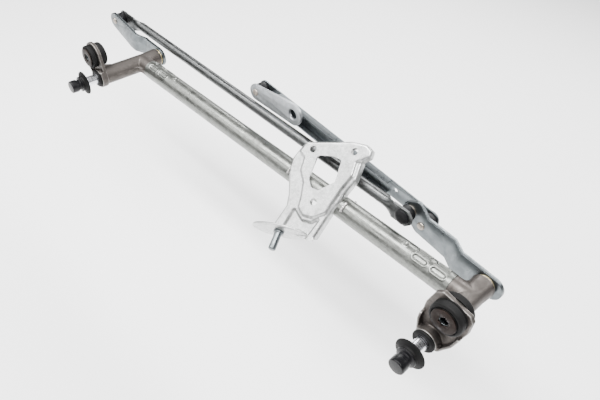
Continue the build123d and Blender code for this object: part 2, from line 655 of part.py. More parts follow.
def short_link():
    half = CHANNEL_T / 2
    width = CHANNEL_W / 2
    strip = hull_of((0, 0, width), (-SHORT_LINK_LENGTH, 0, width))
    body = slab(strip, -half, half)
    start = -SHORT_LINK_LENGTH + CHANNEL_END_FLAT
    length = SHORT_LINK_LENGTH - CHANNEL_END_FLAT - CHANNEL_TONGUE
    for edge in (-1, 1):
        middle = (start + length / 2, edge * (width - half))
        flange = Pos(*middle) * Rectangle(length, CHANNEL_T)
        body += slab(flange, -half - CHANNEL_DEPTH, -half)
    for x in (0, -SHORT_LINK_LENGTH):
        body -= disc(SOCKET_NECK_D, -2 * half, 2 * half, x)
    body -= disc(CHANNEL_HOLE_D, -2 * half, 2 * half, -CHANNEL_HOLE_OFFSET, 1.5)
    body -= disc(CHANNEL_HOLE_D, -2 * half, 2 * half, start + 8, -2)
    return place_short(body)


def short_joint(piece, x):
    return place_short(Pos(x, 0, 0) * piece(-LINK_PLATE_OFFSET, 1, CHANNEL_T))


def place_crank(shape):
    return Pos(CRANK_BALL_X, 0, CRANK_BALL_Z) * Rot(0, -CRANK_TILT, 0) * shape


def crank_arm():
    outline = hull_of((0, 0, CRANK_BALL_END_R), (CRANK_RADIUS, 0, CRANK_SHAFT_END_R))
    body = slab(outline, CRANK_FRONT_Y, CRANK_REAR_Y)
    body = chamfer(body.faces().filter_by(Axis.Y).edges(), 0.5)
    body -= disc(BALL_TAIL_D, CRANK_FRONT_Y - 1, CRANK_REAR_Y + 1)
    wide = CRANK_HOLE_D / 2 + CRANK_HOLE_CHAMFER
    hole = CRANK_HOLE_D / 2
    bore = turned([(0, CRANK_FRONT_Y - 1), (wide, CRANK_FRONT_Y - 1), (wide, CRANK_FRONT_Y),
                   (hole, CRANK_FRONT_Y + CRANK_HOLE_CHAMFER), (hole, CRANK_REAR_Y + 1),
                   (0, CRANK_REAR_Y + 1)])
    return place_crank(body - Pos(CRANK_RADIUS, 0, 0) * bore)


# ---------------------------------------------------------------- motor bracket
def bracket_plane(height=0.0):
    """Plane of the bracket sheet's back: x is across, y is up the sheet, z is out of it."""
    tilt = math.radians(BRACKET_TILT)
    out = Vector(0, -math.sin(tilt), math.cos(tilt))
    up = Vector(0, math.cos(tilt), math.sin(tilt))
    twist = math.radians(BRACKET_TWIST)
    across = Vector(1, 0, 0) * math.cos(twist) + up * math.sin(twist)
    origin = Vector(BRACKET_X, 0, 0) + up * BRACKET_UP + out * (TUBE_D / 2 + STATIC_GAP + height)
    return Plane(origin=origin, x_dir=across, z_dir=out)


def rounded(points, radius):
    """Closed polygon with every corner rounded."""
    face = make_face(Polyline(*points, close=True))
    return fillet(face.vertices(), radius)


def sheet_outline():
    points = [(-48, 17), (-39.5, 26.5), (-1, 36), (13, 40), (31, 40.5), (38.5, 36), (39, 28), (31.5, 22),
              (31.5, 1), (25, -17), (24, -24), (18, -38), (8.5, -76), (-46.5, -76), (-38.5, -49),
              (-41, -37), (-51, -12), (-52.5, 5)]
    return rounded(points, 3.0)


def plateau_outline():
    points = [(-45, 13.5), (-38.4, 25.2), (-1, 34.8), (13, 38.4), (30, 38.8), (36.4, 34.6), (36.4, 29),
              (25, 20), (26, 4),
              (19.5, -13), (15, -30), (12, -42), (0, -51), (-12, -52), (-21, -46), (-22, -35), (-26, -18),
              (-35, -6), (-36, 9)]
    return rounded(points, 2.5)


def opening_outline():
    points = [(-21, 15), (-21.5, -12), (-15, -21), (-5, -22), (10.5, -7.5), (9, 17), (-3, 18.5)]
    return rounded(points, 3.5)


def floor_outline(grow):
    points = [(-27 - grow, -48), (-33.5 - grow, -77), (-1 + grow, -77), (8 + grow, -49), (-1, -57),
              (-13, -58)]
    return rounded(points, 2.0)


def end_plate_plane():
    base = bracket_plane(BRACKET_SHEET_T / 2)
    normal = base.x_dir * 0.17 - base.y_dir * 0.93 + base.z_dir * 0.325
    centre = base.from_local_coords(Vector(END_PLATE_SPOT[0], END_PLATE_SPOT[1], 0))
    return Plane(origin=centre, x_dir=base.x_dir, z_dir=normal)


def motor_bracket():
    sheet = BRACKET_SHEET_T
    base = bracket_plane()
    body = extrude(base * sheet_outline(), amount=sheet)
    skirt = sheet_outline() - offset(sheet_outline(), -sheet)
    skirt -= Pos(-20, -76) * Rectangle(120, 12)
    body += extrude(base * skirt, amount=-BRACKET_SKIRT)
    body += extrude(base * plateau_outline(), amount=sheet + BRACKET_RISE)
    body -= extrude(base * offset(plateau_outline(), -sheet), amount=BRACKET_RISE)
    pan = extrude(bracket_plane(-BRACKET_RISE) * floor_outline(sheet), amount=BRACKET_RISE + sheet)
    body += pan
    body -= extrude(bracket_plane(sheet - BRACKET_RISE) * floor_outline(0), amount=2 * BRACKET_RISE + sheet)
    body -= extrude(bracket_plane(-1) * opening_outline(), amount=10)
    for angle in MOTOR_BOLT_ANGLES:
        centre = Vector(MOTOR_BOLT_PCD / 2, 0).rotate(Axis.Z, angle)
        place = Pos(centre.X, centre.Y)
        collar = place * Circle(MOTOR_BOLT_HOLE_D / 2 + MOTOR_COLLAR_WALL)
        body += extrude(bracket_plane(BRACKET_RISE) * collar, amount=-MOTOR_COLLAR_DEPTH)
        hole = place * Circle(MOTOR_BOLT_HOLE_D / 2)
        body -= extrude(bracket_plane(BRACKET_RISE - MOTOR_COLLAR_DEPTH - 1) * hole, amount=12)
    plate = Ellipse(END_PLATE_LENGTH / 2, END_PLATE_WIDTH / 2)
    body += extrude(end_plate_plane() * plate, amount=END_PLATE_T)
    saddle = TUBE_D / 2 + STATIC_GAP
    body -= Pos(BRACKET_X, 0, 0) * extrude(Plane.YZ * Circle(saddle), amount=100, both=True)
    return body


def bracket_stud():
    plane = end_plate_plane().offset(END_PLATE_T)
    place = Pos(*STUD_OFFSET)
    body = extrude(plane * place * Circle(STUD_COLLAR_D / 2), amount=STUD_COLLAR_T)
    body += extrude(plane * place * Circle(STUD_D / 2), amount=STUD_LENGTH)
    tip = body.faces().sort_by(Axis(plane.origin, plane.z_dir))[-1]
    return chamfer(tip.edges(), 1.0)


WELD_R = 1.6
WELD_SPREAD = 50.0
WELD_OFFSETS = (-47.0, 35.0)


def weld_beads(bracket):
    """Four fillet welds where the bracket's folded edges meet the tube."""
    tube = Pos(BRACKET_X, 0, 0) * extrude(Plane.YZ * Circle(TUBE_D / 2), amount=100, both=True)
    beads = []
    for x in WELD_OFFSETS:
        for start in (18, 180 + 18 - WELD_SPREAD):
            profile = Pos(0, TUBE_D / 2 + 0.5 * WELD_R) * Circle(WELD_R)
            arc = revolve(profile, axis=Axis.X, revolution_arc=WELD_SPREAD)
            bead = Pos(BRACKET_X + x, 0, 0) * Rot(-BRACKET_TILT + start, 0, 0) * arc
            beads.append(max((bead - tube - bracket).solids(), key=lambda solid: solid.volume))
    return Compound(beads)


# ---------------------------------------------------------------- build every node
def build_side(side, ear):
    spot = Pos(side.x, 0, 0)
    pieces = {
        "housing": housing(side, ear),
        "front_bush": front_bush(),
        "rear_bush": rear_bush(),
        "nose_seal": nose_seal(),
        "grommet": grommet(side),
        "grommet_sleeve": grommet_sleeve(side),
        "grommet_washer": grommet_washer(side),
        "spindle_shaft": spindle_shaft(),
        "front_washer": front_washer(),
        "circlip": circlip(),
        "thrust_washer": thrust_washer(),
        "spindle_cap": spindle_cap(),
        "spindle_skirt": spindle_skirt(),
    }
    for node, shape in pieces.items():
        save(f"{side.name}_{node}", spot * shape)


def build_levers():
    right = Pos(SPINDLE_SPACING, 0, 0)
    save("left_lever", left_lever())
    save("left_ball_stud", Pos(BALL_X, 0, BALL_Z) * ball_stud(LEFT_TIP_REAR_Y, 1, LEVER_T))
    save("right_lever", right * right_lever())
    front_stud = Pos(BALL_X, 0, BALL_Z) * ball_stud(RIGHT_TIP_FRONT_Y, -1, LEVER_T)
    rear_stud = Pos(REAR_BALL_X, 0, REAR_BALL_Z) * ball_stud(RIGHT_TIP_REAR_Y, 1, LEVER_T)
    save("right_front_ball_stud", right * front_stud)
    save("right_rear_ball_stud", right * rear_stud)


def build_links():
    save("long_link", long_link())
    save("short_link", short_link())
    for name, piece in (("socket", ball_socket), ("socket_cap", socket_cap)):
        save(f"long_link_left_{name}", long_left(piece))
        save(f"long_link_right_{name}", long_right(piece))
        save(f"short_link_lever_{name}", short_joint(piece, 0))
        save(f"short_link_crank_{name}", short_joint(piece, -SHORT_LINK_LENGTH))
    save("crank_arm", crank_arm())
    save("crank_ball_stud", place_crank(ball_stud(CRANK_REAR_Y, 1, CRANK_T)))


def build_bracket():
    bracket = motor_bracket()
    save("motor_bracket", bracket)
    save("bracket_stud", bracket_stud())
    save("bracket_welds", weld_beads(bracket))


def main():
    save("frame_tube", frame_tube())
    build_side(LEFT, left_ear_outline())
    build_side(RIGHT, right_ear_outline())
    build_bracket()
    build_levers()
    build_links()


main()
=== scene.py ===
"""Looks of a windshield wiper linkage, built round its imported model."""

import json
import math
from contextlib import contextmanager

import bmesh
import bpy
from bpy.props import FloatProperty, FloatVectorProperty, IntProperty, PointerProperty
from mathutils import Matrix, Vector, geometry, noise


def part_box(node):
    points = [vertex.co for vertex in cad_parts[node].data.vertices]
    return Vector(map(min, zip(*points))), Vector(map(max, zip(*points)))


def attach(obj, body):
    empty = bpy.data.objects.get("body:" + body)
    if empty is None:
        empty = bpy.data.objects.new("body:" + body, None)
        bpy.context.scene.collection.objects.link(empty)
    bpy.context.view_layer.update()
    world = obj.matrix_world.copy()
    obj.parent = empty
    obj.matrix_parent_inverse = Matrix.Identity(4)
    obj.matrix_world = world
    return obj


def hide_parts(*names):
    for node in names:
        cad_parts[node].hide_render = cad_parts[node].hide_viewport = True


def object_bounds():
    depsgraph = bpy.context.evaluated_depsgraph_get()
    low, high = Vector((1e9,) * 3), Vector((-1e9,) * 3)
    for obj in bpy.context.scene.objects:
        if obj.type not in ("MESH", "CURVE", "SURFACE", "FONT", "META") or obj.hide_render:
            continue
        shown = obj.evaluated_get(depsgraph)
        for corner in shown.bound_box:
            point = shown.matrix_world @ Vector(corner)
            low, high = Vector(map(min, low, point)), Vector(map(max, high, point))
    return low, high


bl_info = {
    "name": "Wiper Linkage",
    "version": (1, 0, 0),
    "blender": (4, 5, 0),
    "location": "View3D > Sidebar > Wiper",
    "description": "Builds the pieces and finishes of a windshield wiper linkage",
    "category": "Object",
}

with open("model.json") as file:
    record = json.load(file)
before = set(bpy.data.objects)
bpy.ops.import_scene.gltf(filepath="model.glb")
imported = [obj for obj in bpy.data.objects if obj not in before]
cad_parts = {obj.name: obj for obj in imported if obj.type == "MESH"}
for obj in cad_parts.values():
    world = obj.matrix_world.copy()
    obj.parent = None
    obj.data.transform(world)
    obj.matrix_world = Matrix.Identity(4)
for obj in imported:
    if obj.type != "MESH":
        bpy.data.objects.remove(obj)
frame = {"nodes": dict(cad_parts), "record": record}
CAD_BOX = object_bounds()
MM = 0.001
SIDES = ("left", "right")
MOUNTS = {mount["name"]: mount for mount in frame["record"]["mounts"]}


# ---------------------------------------------------------------- sizes and colours
def length(name, description, millimetres):
    """A length a user may change, kept in metres."""
    return FloatProperty(name=name, description=description, default=millimetres * MM, min=0.0,
                         unit="LENGTH", precision=5)


def colour(name, description, rgb):
    return FloatVectorProperty(name=name, description=description, default=rgb, min=0.0, max=1.0,
                               subtype="COLOR", size=3)


class WiperSizes(bpy.types.PropertyGroup):
    """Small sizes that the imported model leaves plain."""
    sheared_edge: length("Sheared edge", "Rounding of edges cut from sheet steel", 0.45)
    moulded_edge: length("Moulded edge", "Rounding of plastic and rubber edges", 0.5)
    turned_edge: length("Turned edge", "Rounding of turned metal edges", 0.25)
    cast_grid: length("Cast grid", "Size of the grid that rounds the castings", 0.55)
    cast_rounding: IntProperty(name="Cast rounding", description="How often the castings are smoothed",
                               default=9, min=0, max=40)
    press_grid: length("Press grid", "Size of the grid that carries the pressed shapes", 1.0)
    press_bend: length("Press bend", "Width of a pressed step in the bracket", 2.6)
    crimp_depth: length("Crimp depth", "Depth of the slots that lock the tube", 1.3)
    crimp_rim: length("Crimp rim", "Height of the lip pushed up round a slot", 0.35)
    bead_ripple: length("Bead ripple", "Height of the ripples in a weld bead", 0.25)


class WiperFinishes(bpy.types.PropertyGroup):
    """Base colours of the finishes."""
    galvanised: colour("Galvanised", "Zinc-coated bracket", (0.50, 0.505, 0.50))
    cast: colour("Cast aluminium", "Die-cast spindle housings", (0.08, 0.071, 0.065))
    zinc: colour("Zinc steel", "Levers, short link, sleeves and stud", (0.125, 0.138, 0.144))
    crank: colour("Crank steel", "Crank arm", (0.36, 0.375, 0.39))
    drawn: colour("Drawn tube", "Long link", (0.095, 0.098, 0.098))
    tube: colour("Frame tube", "Zinc-coated frame tube", (0.165, 0.17, 0.158))
    studs: colour("Stud steel", "Ball studs and their rivet heads", (0.34, 0.30, 0.26))
    washers: colour("Washer brown", "Grommet washers", (0.018, 0.013, 0.011))
    bronze: colour("Bronze", "Bushes and thrust washers", (0.66, 0.55, 0.33))
    plastic: colour("Black plastic", "Sockets and caps", (0.003, 0.003, 0.0035))
    rubber: colour("Black rubber", "Grommets, seals and skirts", (0.003, 0.003, 0.003))


class WiperView(bpy.types.PropertyGroup):
    """Camera and light."""
    azimuth: FloatProperty(name="Azimuth", description="Turn of the camera round the linkage",
                           default=math.radians(43.28), subtype="ANGLE")
    elevation: FloatProperty(name="Elevation", description="Height of the camera over the linkage",
                             default=math.radians(42.4), subtype="ANGLE")
    roll: FloatProperty(name="Roll", description="Turn of the camera about its own line of sight",
                        default=math.radians(4.59), subtype="ANGLE")
    distance: FloatProperty(name="Distance", description="From the camera to the point it looks at",
                            default=0.6255, unit="LENGTH")
    lens: FloatProperty(name="Lens", description="Focal length on a 36 mm sensor", default=34.5,
                        unit="CAMERA")
    floor_gap: FloatProperty(name="Floor gap", description="From the linkage down to the floor",
                             default=0.16, unit="LENGTH")
    sky: FloatProperty(name="Sky", description="Strength of the even light all round", default=0.2)
    key: FloatProperty(name="Key light", description="Power of the large soft light", default=110.0,
                       subtype="POWER")


# ---------------------------------------------------------------- finishes
# the colour sockets of a mix node, whose names other sockets share
MIX_FIRST = 6
MIX_SECOND = 7
MIX_RESULT = 2
EVEN = (1.0, 1.0, 1.0)


class Shader:
    """A material with one main shader, and short ways to add what feeds it."""

    def __init__(self, name, base, metallic, roughness):
        self.material = bpy.data.materials.new(name)
        self.material.use_nodes = True
        self.material.diffuse_color = (*base, 1.0)
        self.tree = self.material.node_tree
        self.main = self.tree.nodes["Principled BSDF"]
        self.main.inputs["Base Color"].default_value = (*base, 1.0)
        self.main.inputs["Metallic"].default_value = metallic
        self.main.inputs["Roughness"].default_value = roughness
        self.place = self.node("ShaderNodeTexCoord").outputs["Object"]
        self.height = None

    def node(self, kind, **settings):
        node = self.tree.nodes.new(kind)
        for key, value in settings.items():
            setattr(node, key, value)
        return node

    def link(self, output, node, socket):
        self.tree.links.new(output, node.inputs[socket])

    def stretched(self, stretch):
        mapping = self.node("ShaderNodeMapping")
        mapping.inputs["Scale"].default_value = stretch
        self.link(self.place, mapping, "Vector")
        return mapping.outputs["Vector"]

    def grain(self, size, detail=3.0, stretch=EVEN, distortion=0.0):
        """Soft noise whose spots are about size millimetres across."""
        noise_node = self.node("ShaderNodeTexNoise")
        noise_node.inputs["Scale"].default_value = 1.0 / (size * MM)
        noise_node.inputs["Detail"].default_value = detail
        noise_node.inputs["Distortion"].default_value = distortion
        self.link(self.stretched(stretch), noise_node, "Vector")
        return noise_node.outputs["Fac"]

    def crystals(self, size):
        """Flat patches with their own value, as zinc crystals have."""
        cells = self.node("ShaderNodeTexVoronoi", feature="F1")
        cells.inputs["Scale"].default_value = 1.0 / (size * MM)
        self.link(self.place, cells, "Vector")
        split = self.node("ShaderNodeSeparateColor")
        self.link(cells.outputs["Color"], split, "Color")
        return split.outputs["Red"]

    def spread(self, factor, low, high, start=0.3, end=0.7):
        """The factor's range from start to end, laid over low to high."""
        ranged = self.node("ShaderNodeMapRange")
        self.link(factor, ranged, "Value")
        ranged.inputs["From Min"].default_value = start
        ranged.inputs["From Max"].default_value = end
        ranged.inputs["To Min"].default_value = low
        ranged.inputs["To Max"].default_value = high
        return ranged.outputs["Result"]

    def tint(self, factor, dark, light):
        """Colour that runs from dark to light with the factor."""
        mix = self.node("ShaderNodeMix", data_type="RGBA")
        self.tree.links.new(factor, mix.inputs["Factor"])
        mix.inputs[MIX_FIRST].default_value = (*dark, 1.0)
        mix.inputs[MIX_SECOND].default_value = (*light, 1.0)
        return mix.outputs[MIX_RESULT]

    def over(self, factor, under, above):
        """Colour that runs from one output to another with the factor."""
        mix = self.node("ShaderNodeMix", data_type="RGBA")
        self.tree.links.new(factor, mix.inputs["Factor"])
        self.tree.links.new(under, mix.inputs[MIX_FIRST])
        self.tree.links.new(above, mix.inputs[MIX_SECOND])
        return mix.outputs[MIX_RESULT]

    def edges(self, low, high):
        """1 on outer edges, 0 elsewhere."""
        point = self.node("ShaderNodeNewGeometry").outputs["Pointiness"]
        return self.spread(point, 0.0, 1.0, low, high)

    def bump(self, factor, depth, strength=1.0):
        """Relief of depth millimetres, laid over any relief that came before."""
        relief = self.node("ShaderNodeBump")
        relief.inputs["Strength"].default_value = strength
        relief.inputs["Distance"].default_value = depth * MM
        self.link(factor, relief, "Height")
        if self.height:
            self.link(self.height, relief, "Normal")
        self.height = relief.outputs["Normal"]
        self.link(self.height, self.main, "Normal")

    def colours(self, output):
        self.link(output, self.main, "Base Color")

    def roughens(self, output):
        self.link(output, self.main, "Roughness")


CHROME = (0.83, 0.84, 0.88)
SPRING_STEEL = (0.13, 0.13, 0.14)
WORN_CASTING = (0.78, 0.76, 0.73)
WELD = (0.45, 0.44, 0.43)
WELD_SOOT = (0.2, 0.19, 0.2)
WELD_BRIGHT = (0.62, 0.6, 0.57)


def shade(base, factor):
    return tuple(min(1.0, channel * factor) for channel in base)


def galvanised(name, base, along):
    """Zinc-coated steel with faint crystals, drawn streaks and dull patches."""
    shader = Shader(name, base, 0.92, 0.34)
    stretch = tuple(0.05 if axis == along else 1.0 for axis in "XYZ")
    streaks = shader.grain(1.1, 4.0, stretch)
    patches = shader.grain(16.0, 5.0, distortion=0.6)
    crystals = shader.crystals(2.6)
    streaked = shader.tint(shader.spread(streaks, 0.0, 1.0, 0.34, 0.66),
                           shade(base, 0.62), shade(base, 1.2))
    mottled = shader.tint(crystals, shade(base, 0.7), shade(base, 1.25))
    metal = shader.over(shader.spread(patches, 0.2, 0.75), streaked, mottled)
    shader.colours(metal)
    shader.roughens(shader.spread(patches, 0.26, 0.46))
    shader.bump(streaks, 0.02, 0.5)
    shader.bump(shader.grain(0.5, 2.0), 0.012, 0.5)
    return shader.material


def cast_aluminium(name, base):
    """Die-cast skin: fine grain, flow marks, grey film and brighter worn edges."""
    shader = Shader(name, base, 0.85, 0.5)
    flow = shader.grain(9.0, 6.0, (1.0, 0.5, 1.0), 1.2)
    film = shader.tint(shader.spread(flow, 0.0, 1.0, 0.32, 0.68), shade(base, 0.72), shade(base, 1.18))
    worn = shader.tint(shader.edges(0.505, 0.56), base, WORN_CASTING)
    shader.colours(shader.over(shader.edges(0.515, 0.58), film, worn))
    shader.roughens(shader.spread(flow, 0.58, 0.4))
    shader.bump(shader.grain(1.4, 4.0), 0.10, 0.55)
    shader.bump(shader.grain(0.35, 2.0), 0.03, 0.6)
    return shader.material


def plated(name, base, roughness, stretch=(0.12, 1.0, 1.0)):
    """Plated sheet steel with a faint rolling grain and handling marks."""
    shader = Shader(name, base, 0.95, roughness)
    rolled = shader.grain(0.9, 4.0, stretch)
    marks = shader.grain(11.0, 6.0, distortion=0.8)
    shader.colours(shader.tint(shader.spread(marks, 0.0, 1.0), shade(base, 0.76), shade(base, 1.12)))
    shader.roughens(shader.spread(marks, roughness + 0.12, roughness - 0.05))
    shader.bump(rolled, 0.02, 0.5)
    shader.bump(shader.grain(0.4, 2.0), 0.01, 0.4)
    return shader.material


def chromed(name):
    """Ground and polished shaft with hair-fine rings."""
    shader = Shader(name, CHROME, 1.0, 0.24)
    rings = shader.grain(0.25, 2.0, (0.02, 1.0, 0.02))
    shader.roughens(shader.spread(rings, 0.18, 0.32))
    shader.bump(rings, 0.002, 0.3)
    return shader.material


def moulded(name, base, roughness):
    """Moulded plastic with a fine spark-eroded skin."""
    shader = Shader(name, base, 0.0, roughness)
    skin = shader.grain(0.45, 2.0)
    wide = shader.grain(7.0, 4.0)
    shader.colours(shader.tint(wide, base, shade(base, 1.5)))
    shader.main.inputs["Specular IOR Level"].default_value = 0.2
    shader.roughens(shader.spread(wide, roughness - 0.06, roughness + 0.1))
    shader.bump(skin, 0.025, 0.6)
    return shader.material


def rubbery(name, base):
    """Matt rubber with a greyish bloom."""
    shader = Shader(name, base, 0.0, 0.62)
    bloom = shader.grain(5.0, 6.0, distortion=0.5)
    shader.colours(shader.tint(shader.spread(bloom, 0.0, 1.0, 0.4, 0.8), base, shade(base, 1.8)))
    shader.roughens(shader.spread(bloom, 0.5, 0.74))
    shader.bump(shader.grain(0.6, 3.0), 0.03, 0.6)
    shader.main.inputs["Specular IOR Level"].default_value = 0.12
    return shader.material


def welded(name):
    """Weld metal with blued and sooty patches."""
    shader = Shader(name, WELD, 0.85, 0.45)
    heat = shader.grain(3.0, 4.0, distortion=0.8)
    shader.colours(shader.tint(shader.spread(heat, 0.0, 1.0), WELD_SOOT, WELD_BRIGHT))
    shader.roughens(shader.spread(heat, 0.6, 0.32))
    shader.bump(shader.grain(0.7, 3.0), 0.05, 0.7)
    return shader.material


def make_finishes(colours):
    """A finish for each slot in the record, and for pieces that look unlike others in their slot."""
    return {
        "galvanised_steel": galvanised("galvanised_tube", colours.tube, "X"),
        "drawn_steel": galvanised("drawn_tube", colours.drawn, "X"),
        "bracket_sheet": galvanised("galvanised_sheet", colours.galvanised, "Z"),
        "cast_aluminium": cast_aluminium("cast_aluminium", colours.cast),
        "zinc_steel": plated("zinc_steel", colours.zinc, 0.3),
        "crank_steel": plated("crank_steel", colours.crank, 0.36),
        "brown_zinc": plated("stud_steel", colours.studs, 0.38, EVEN),
        "washer_brown": plated("washer_brown", colours.washers, 0.5, EVEN),
        "spring_steel": plated("spring_steel", SPRING_STEEL, 0.35, EVEN),
        "bronze": plated("bronze", colours.bronze, 0.32, EVEN),
        "chrome_steel": chromed("chrome_steel"),
        "black_plastic": moulded("black_plastic", colours.plastic, 0.42),
        "black_gloss_plastic": moulded("black_cap_plastic", colours.plastic, 0.3),
        "black_rubber": rubbery("black_rubber", colours.rubber),
        "weld_steel": welded("weld_steel"),
    }


FINISH = {}
SLOT = {part["node"]: part["material_slot"] for part in frame["record"]["subparts"]}
BODY = {node: body for body, nodes in frame["record"]["behaviour"]["bodies"].items() for node in nodes}


# ---------------------------------------------------------------- meshes
JOIN_GAP = 1e-6
FLAT_ANGLE = math.radians(0.8)
BEVEL_FROM = math.radians(32)
BEVEL_SEGMENTS = 3
WORKED_SMOOTH = math.radians(40)
PRESSED_SMOOTH = math.radians(45)
LATHE_STEPS = 72
SEAM_GAP = 1e-7


@contextmanager
def editing(mesh):
    """The mesh as a bmesh, written back at the end."""
    bm = bmesh.new()
    bm.from_mesh(mesh)
    yield bm
    bm.to_mesh(mesh)
    bm.free()


def add_object(name, mesh):
    piece = bpy.data.objects.new(name, mesh)
    bpy.context.scene.collection.objects.link(piece)
    return piece


def settle(piece, node, finish=None):
    """The piece stands for a node: it rides on the node's body, in the node's finish."""
    slot = SLOT[node]
    piece.data.materials.clear()
    piece.data.materials.append(FINISH[finish or slot])
    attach(piece, BODY[node])
    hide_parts(node)
    return piece


def evaluated(piece):
    """Apply a piece's modifiers."""
    graph = bpy.context.evaluated_depsgraph_get()
    mesh = bpy.data.meshes.new_from_object(piece.evaluated_get(graph), depsgraph=graph)
    piece.modifiers.clear()
    piece.data = mesh
    return piece


def smooth_by_angle(mesh, limit):
    """Smooth faces that meet at a small angle and keep the other edges sharp."""
    with editing(mesh) as bm:
        for face in bm.faces:
            face.smooth = True
        for edge in bm.edges:
            edge.smooth = len(edge.link_faces) == 2 and edge.calc_face_angle(0.0) < limit


def joined_copy(node):
    """A node's mesh with its seams closed and its flat areas merged."""
    source = frame["nodes"][node].data
    mesh = bpy.data.meshes.new(node + "_worked")
    with editing(mesh) as bm:
        for vertex in source.vertices:
            bm.verts.new(vertex.co)
        bm.verts.ensure_lookup_table()
        for polygon in source.polygons:
            corners = [bm.verts[index] for index in polygon.vertices]
            if bm.faces.get(corners) is None:
                bm.faces.new(corners)
        bmesh.ops.remove_doubles(bm, verts=bm.verts, dist=JOIN_GAP)
        bmesh.ops.dissolve_degenerate(bm, dist=JOIN_GAP, edges=bm.edges)
        bmesh.ops.dissolve_limit(bm, angle_limit=FLAT_ANGLE, verts=bm.verts, edges=bm.edges)
    return mesh


def worked(node, edge, finish=None):
    """A node as the workshop leaves it, with its edges rounded."""
    piece = add_object(node + "_worked", joined_copy(node))
    bevel = piece.modifiers.new("edges", "BEVEL")
    bevel.width = edge
    bevel.segments = BEVEL_SEGMENTS
    bevel.limit_method = "ANGLE"
    bevel.angle_limit = BEVEL_FROM
    bevel.miter_outer = "MITER_ARC"
    evaluated(piece)
    smooth_by_angle(piece.data, WORKED_SMOOTH)
    return settle(piece, node, finish)


def cast_copy(node, grid, rounding):
    """A node as a casting, every corner run soft."""
    piece = add_object(node + "_casting", joined_copy(node))
    remesh = piece.modifiers.new("grid", "REMESH")
    remesh.mode = "VOXEL"
    remesh.voxel_size = grid
    soften = piece.modifiers.new("soften", "SMOOTH")
    soften.factor = 0.5
    soften.iterations = rounding
    evaluated(piece)
    for polygon in piece.data.polygons:
        polygon.use_smooth = True
    return piece


def spokes(count):
    """Evenly spaced angles, once round."""
    return [2 * math.pi * index / count for index in range(count)]


def closed_pairs(count):
    """Each index of a ring with the one after it."""
    return [(index, (index + 1) % count) for index in range(count)]


def bridge(bm, rings):
    """Faces from each ring of vertices to the next."""
    for first, second in zip(rings, rings[1:]):
        for index, after in closed_pairs(len(first)):
            bm.faces.new((first[index], first[after], second[after], second[index]))


def ring_mesh(name, rings):
    """A mesh from rings of points, each ring the same number of points."""
    mesh = bpy.data.meshes.new(name)
    with editing(mesh) as bm:
        bridge(bm, [[bm.verts.new(point) for point in ring] for ring in rings])
        bmesh.ops.recalc_face_normals(bm, faces=bm.faces)
    return mesh


def lathe(name, profile, centre):
    """Turn a closed (radius, y) outline in millimetres about the Y direction through centre."""
    rings = []
    for angle in spokes(LATHE_STEPS):
        rings.append([centre + Vector((radius * math.cos(angle), y, radius * math.sin(angle))) * MM
                      for radius, y in profile])
    mesh = ring_mesh(name, rings + rings[:1])
    with editing(mesh) as bm:
        bmesh.ops.remove_doubles(bm, verts=bm.verts, dist=SEAM_GAP)
        bmesh.ops.recalc_face_normals(bm, faces=bm.faces)
    return add_object(name, mesh)


def smoothstep(value, low, high):
    share = min(1.0, max(0.0, (value - low) / (high - low)))
    return share * share * (3 - 2 * share)


# ---------------------------------------------------------------- base operator
class WiperOperator:
    """What the operators share."""
    bl_options = {"REGISTER", "UNDO"}

    @property
    def sizes(self):
        return bpy.context.scene.wiper_sizes

    def need(self, *nodes):
        missing = [node for node in nodes if node not in frame["nodes"]]
        if missing:
            raise RuntimeError(f"the packed model lacks {missing}")


# ---------------------------------------------------------------- frame tube
# millimetres and degrees; a wall is pressed in between its two gaps, and a lip has a middle and a width
TUBE_WALL = 1.5
TUBE_STEPS = 132
FINE_STEP = 0.5
PLAIN_PIECES = 24
SLOT_ROWS = (27.0, -21.0, 207.0, 159.0)
SLOT_STARTS = (6.0, 28.0)
SLOT_LENGTH = 17.0
SLOT_WIDTH = 6.5
SLOT_WALL = (-1.8, 0.1)
SLOT_LIP = (1.0, 0.75)
DIMPLE_START = 58.0
DIMPLE_ANGLE = 0.0
DIMPLE_WALL = (0.5, 2.6)
DIMPLE_LIP = (3.4, 0.7)
CRIMPED_END = DIMPLE_START + 5.0


def around_tube(angle, row, radius):
    """Distance round a tube between two angles in degrees."""
    return abs(math.radians((angle - row + 180) % 360 - 180)) * radius


def lip_share(gap, lip):
    """Share of a lip's height at a gap from the pressed shape, the lip given by its middle and width."""
    middle, width = lip
    return math.exp(-((gap - middle) / width) ** 2)


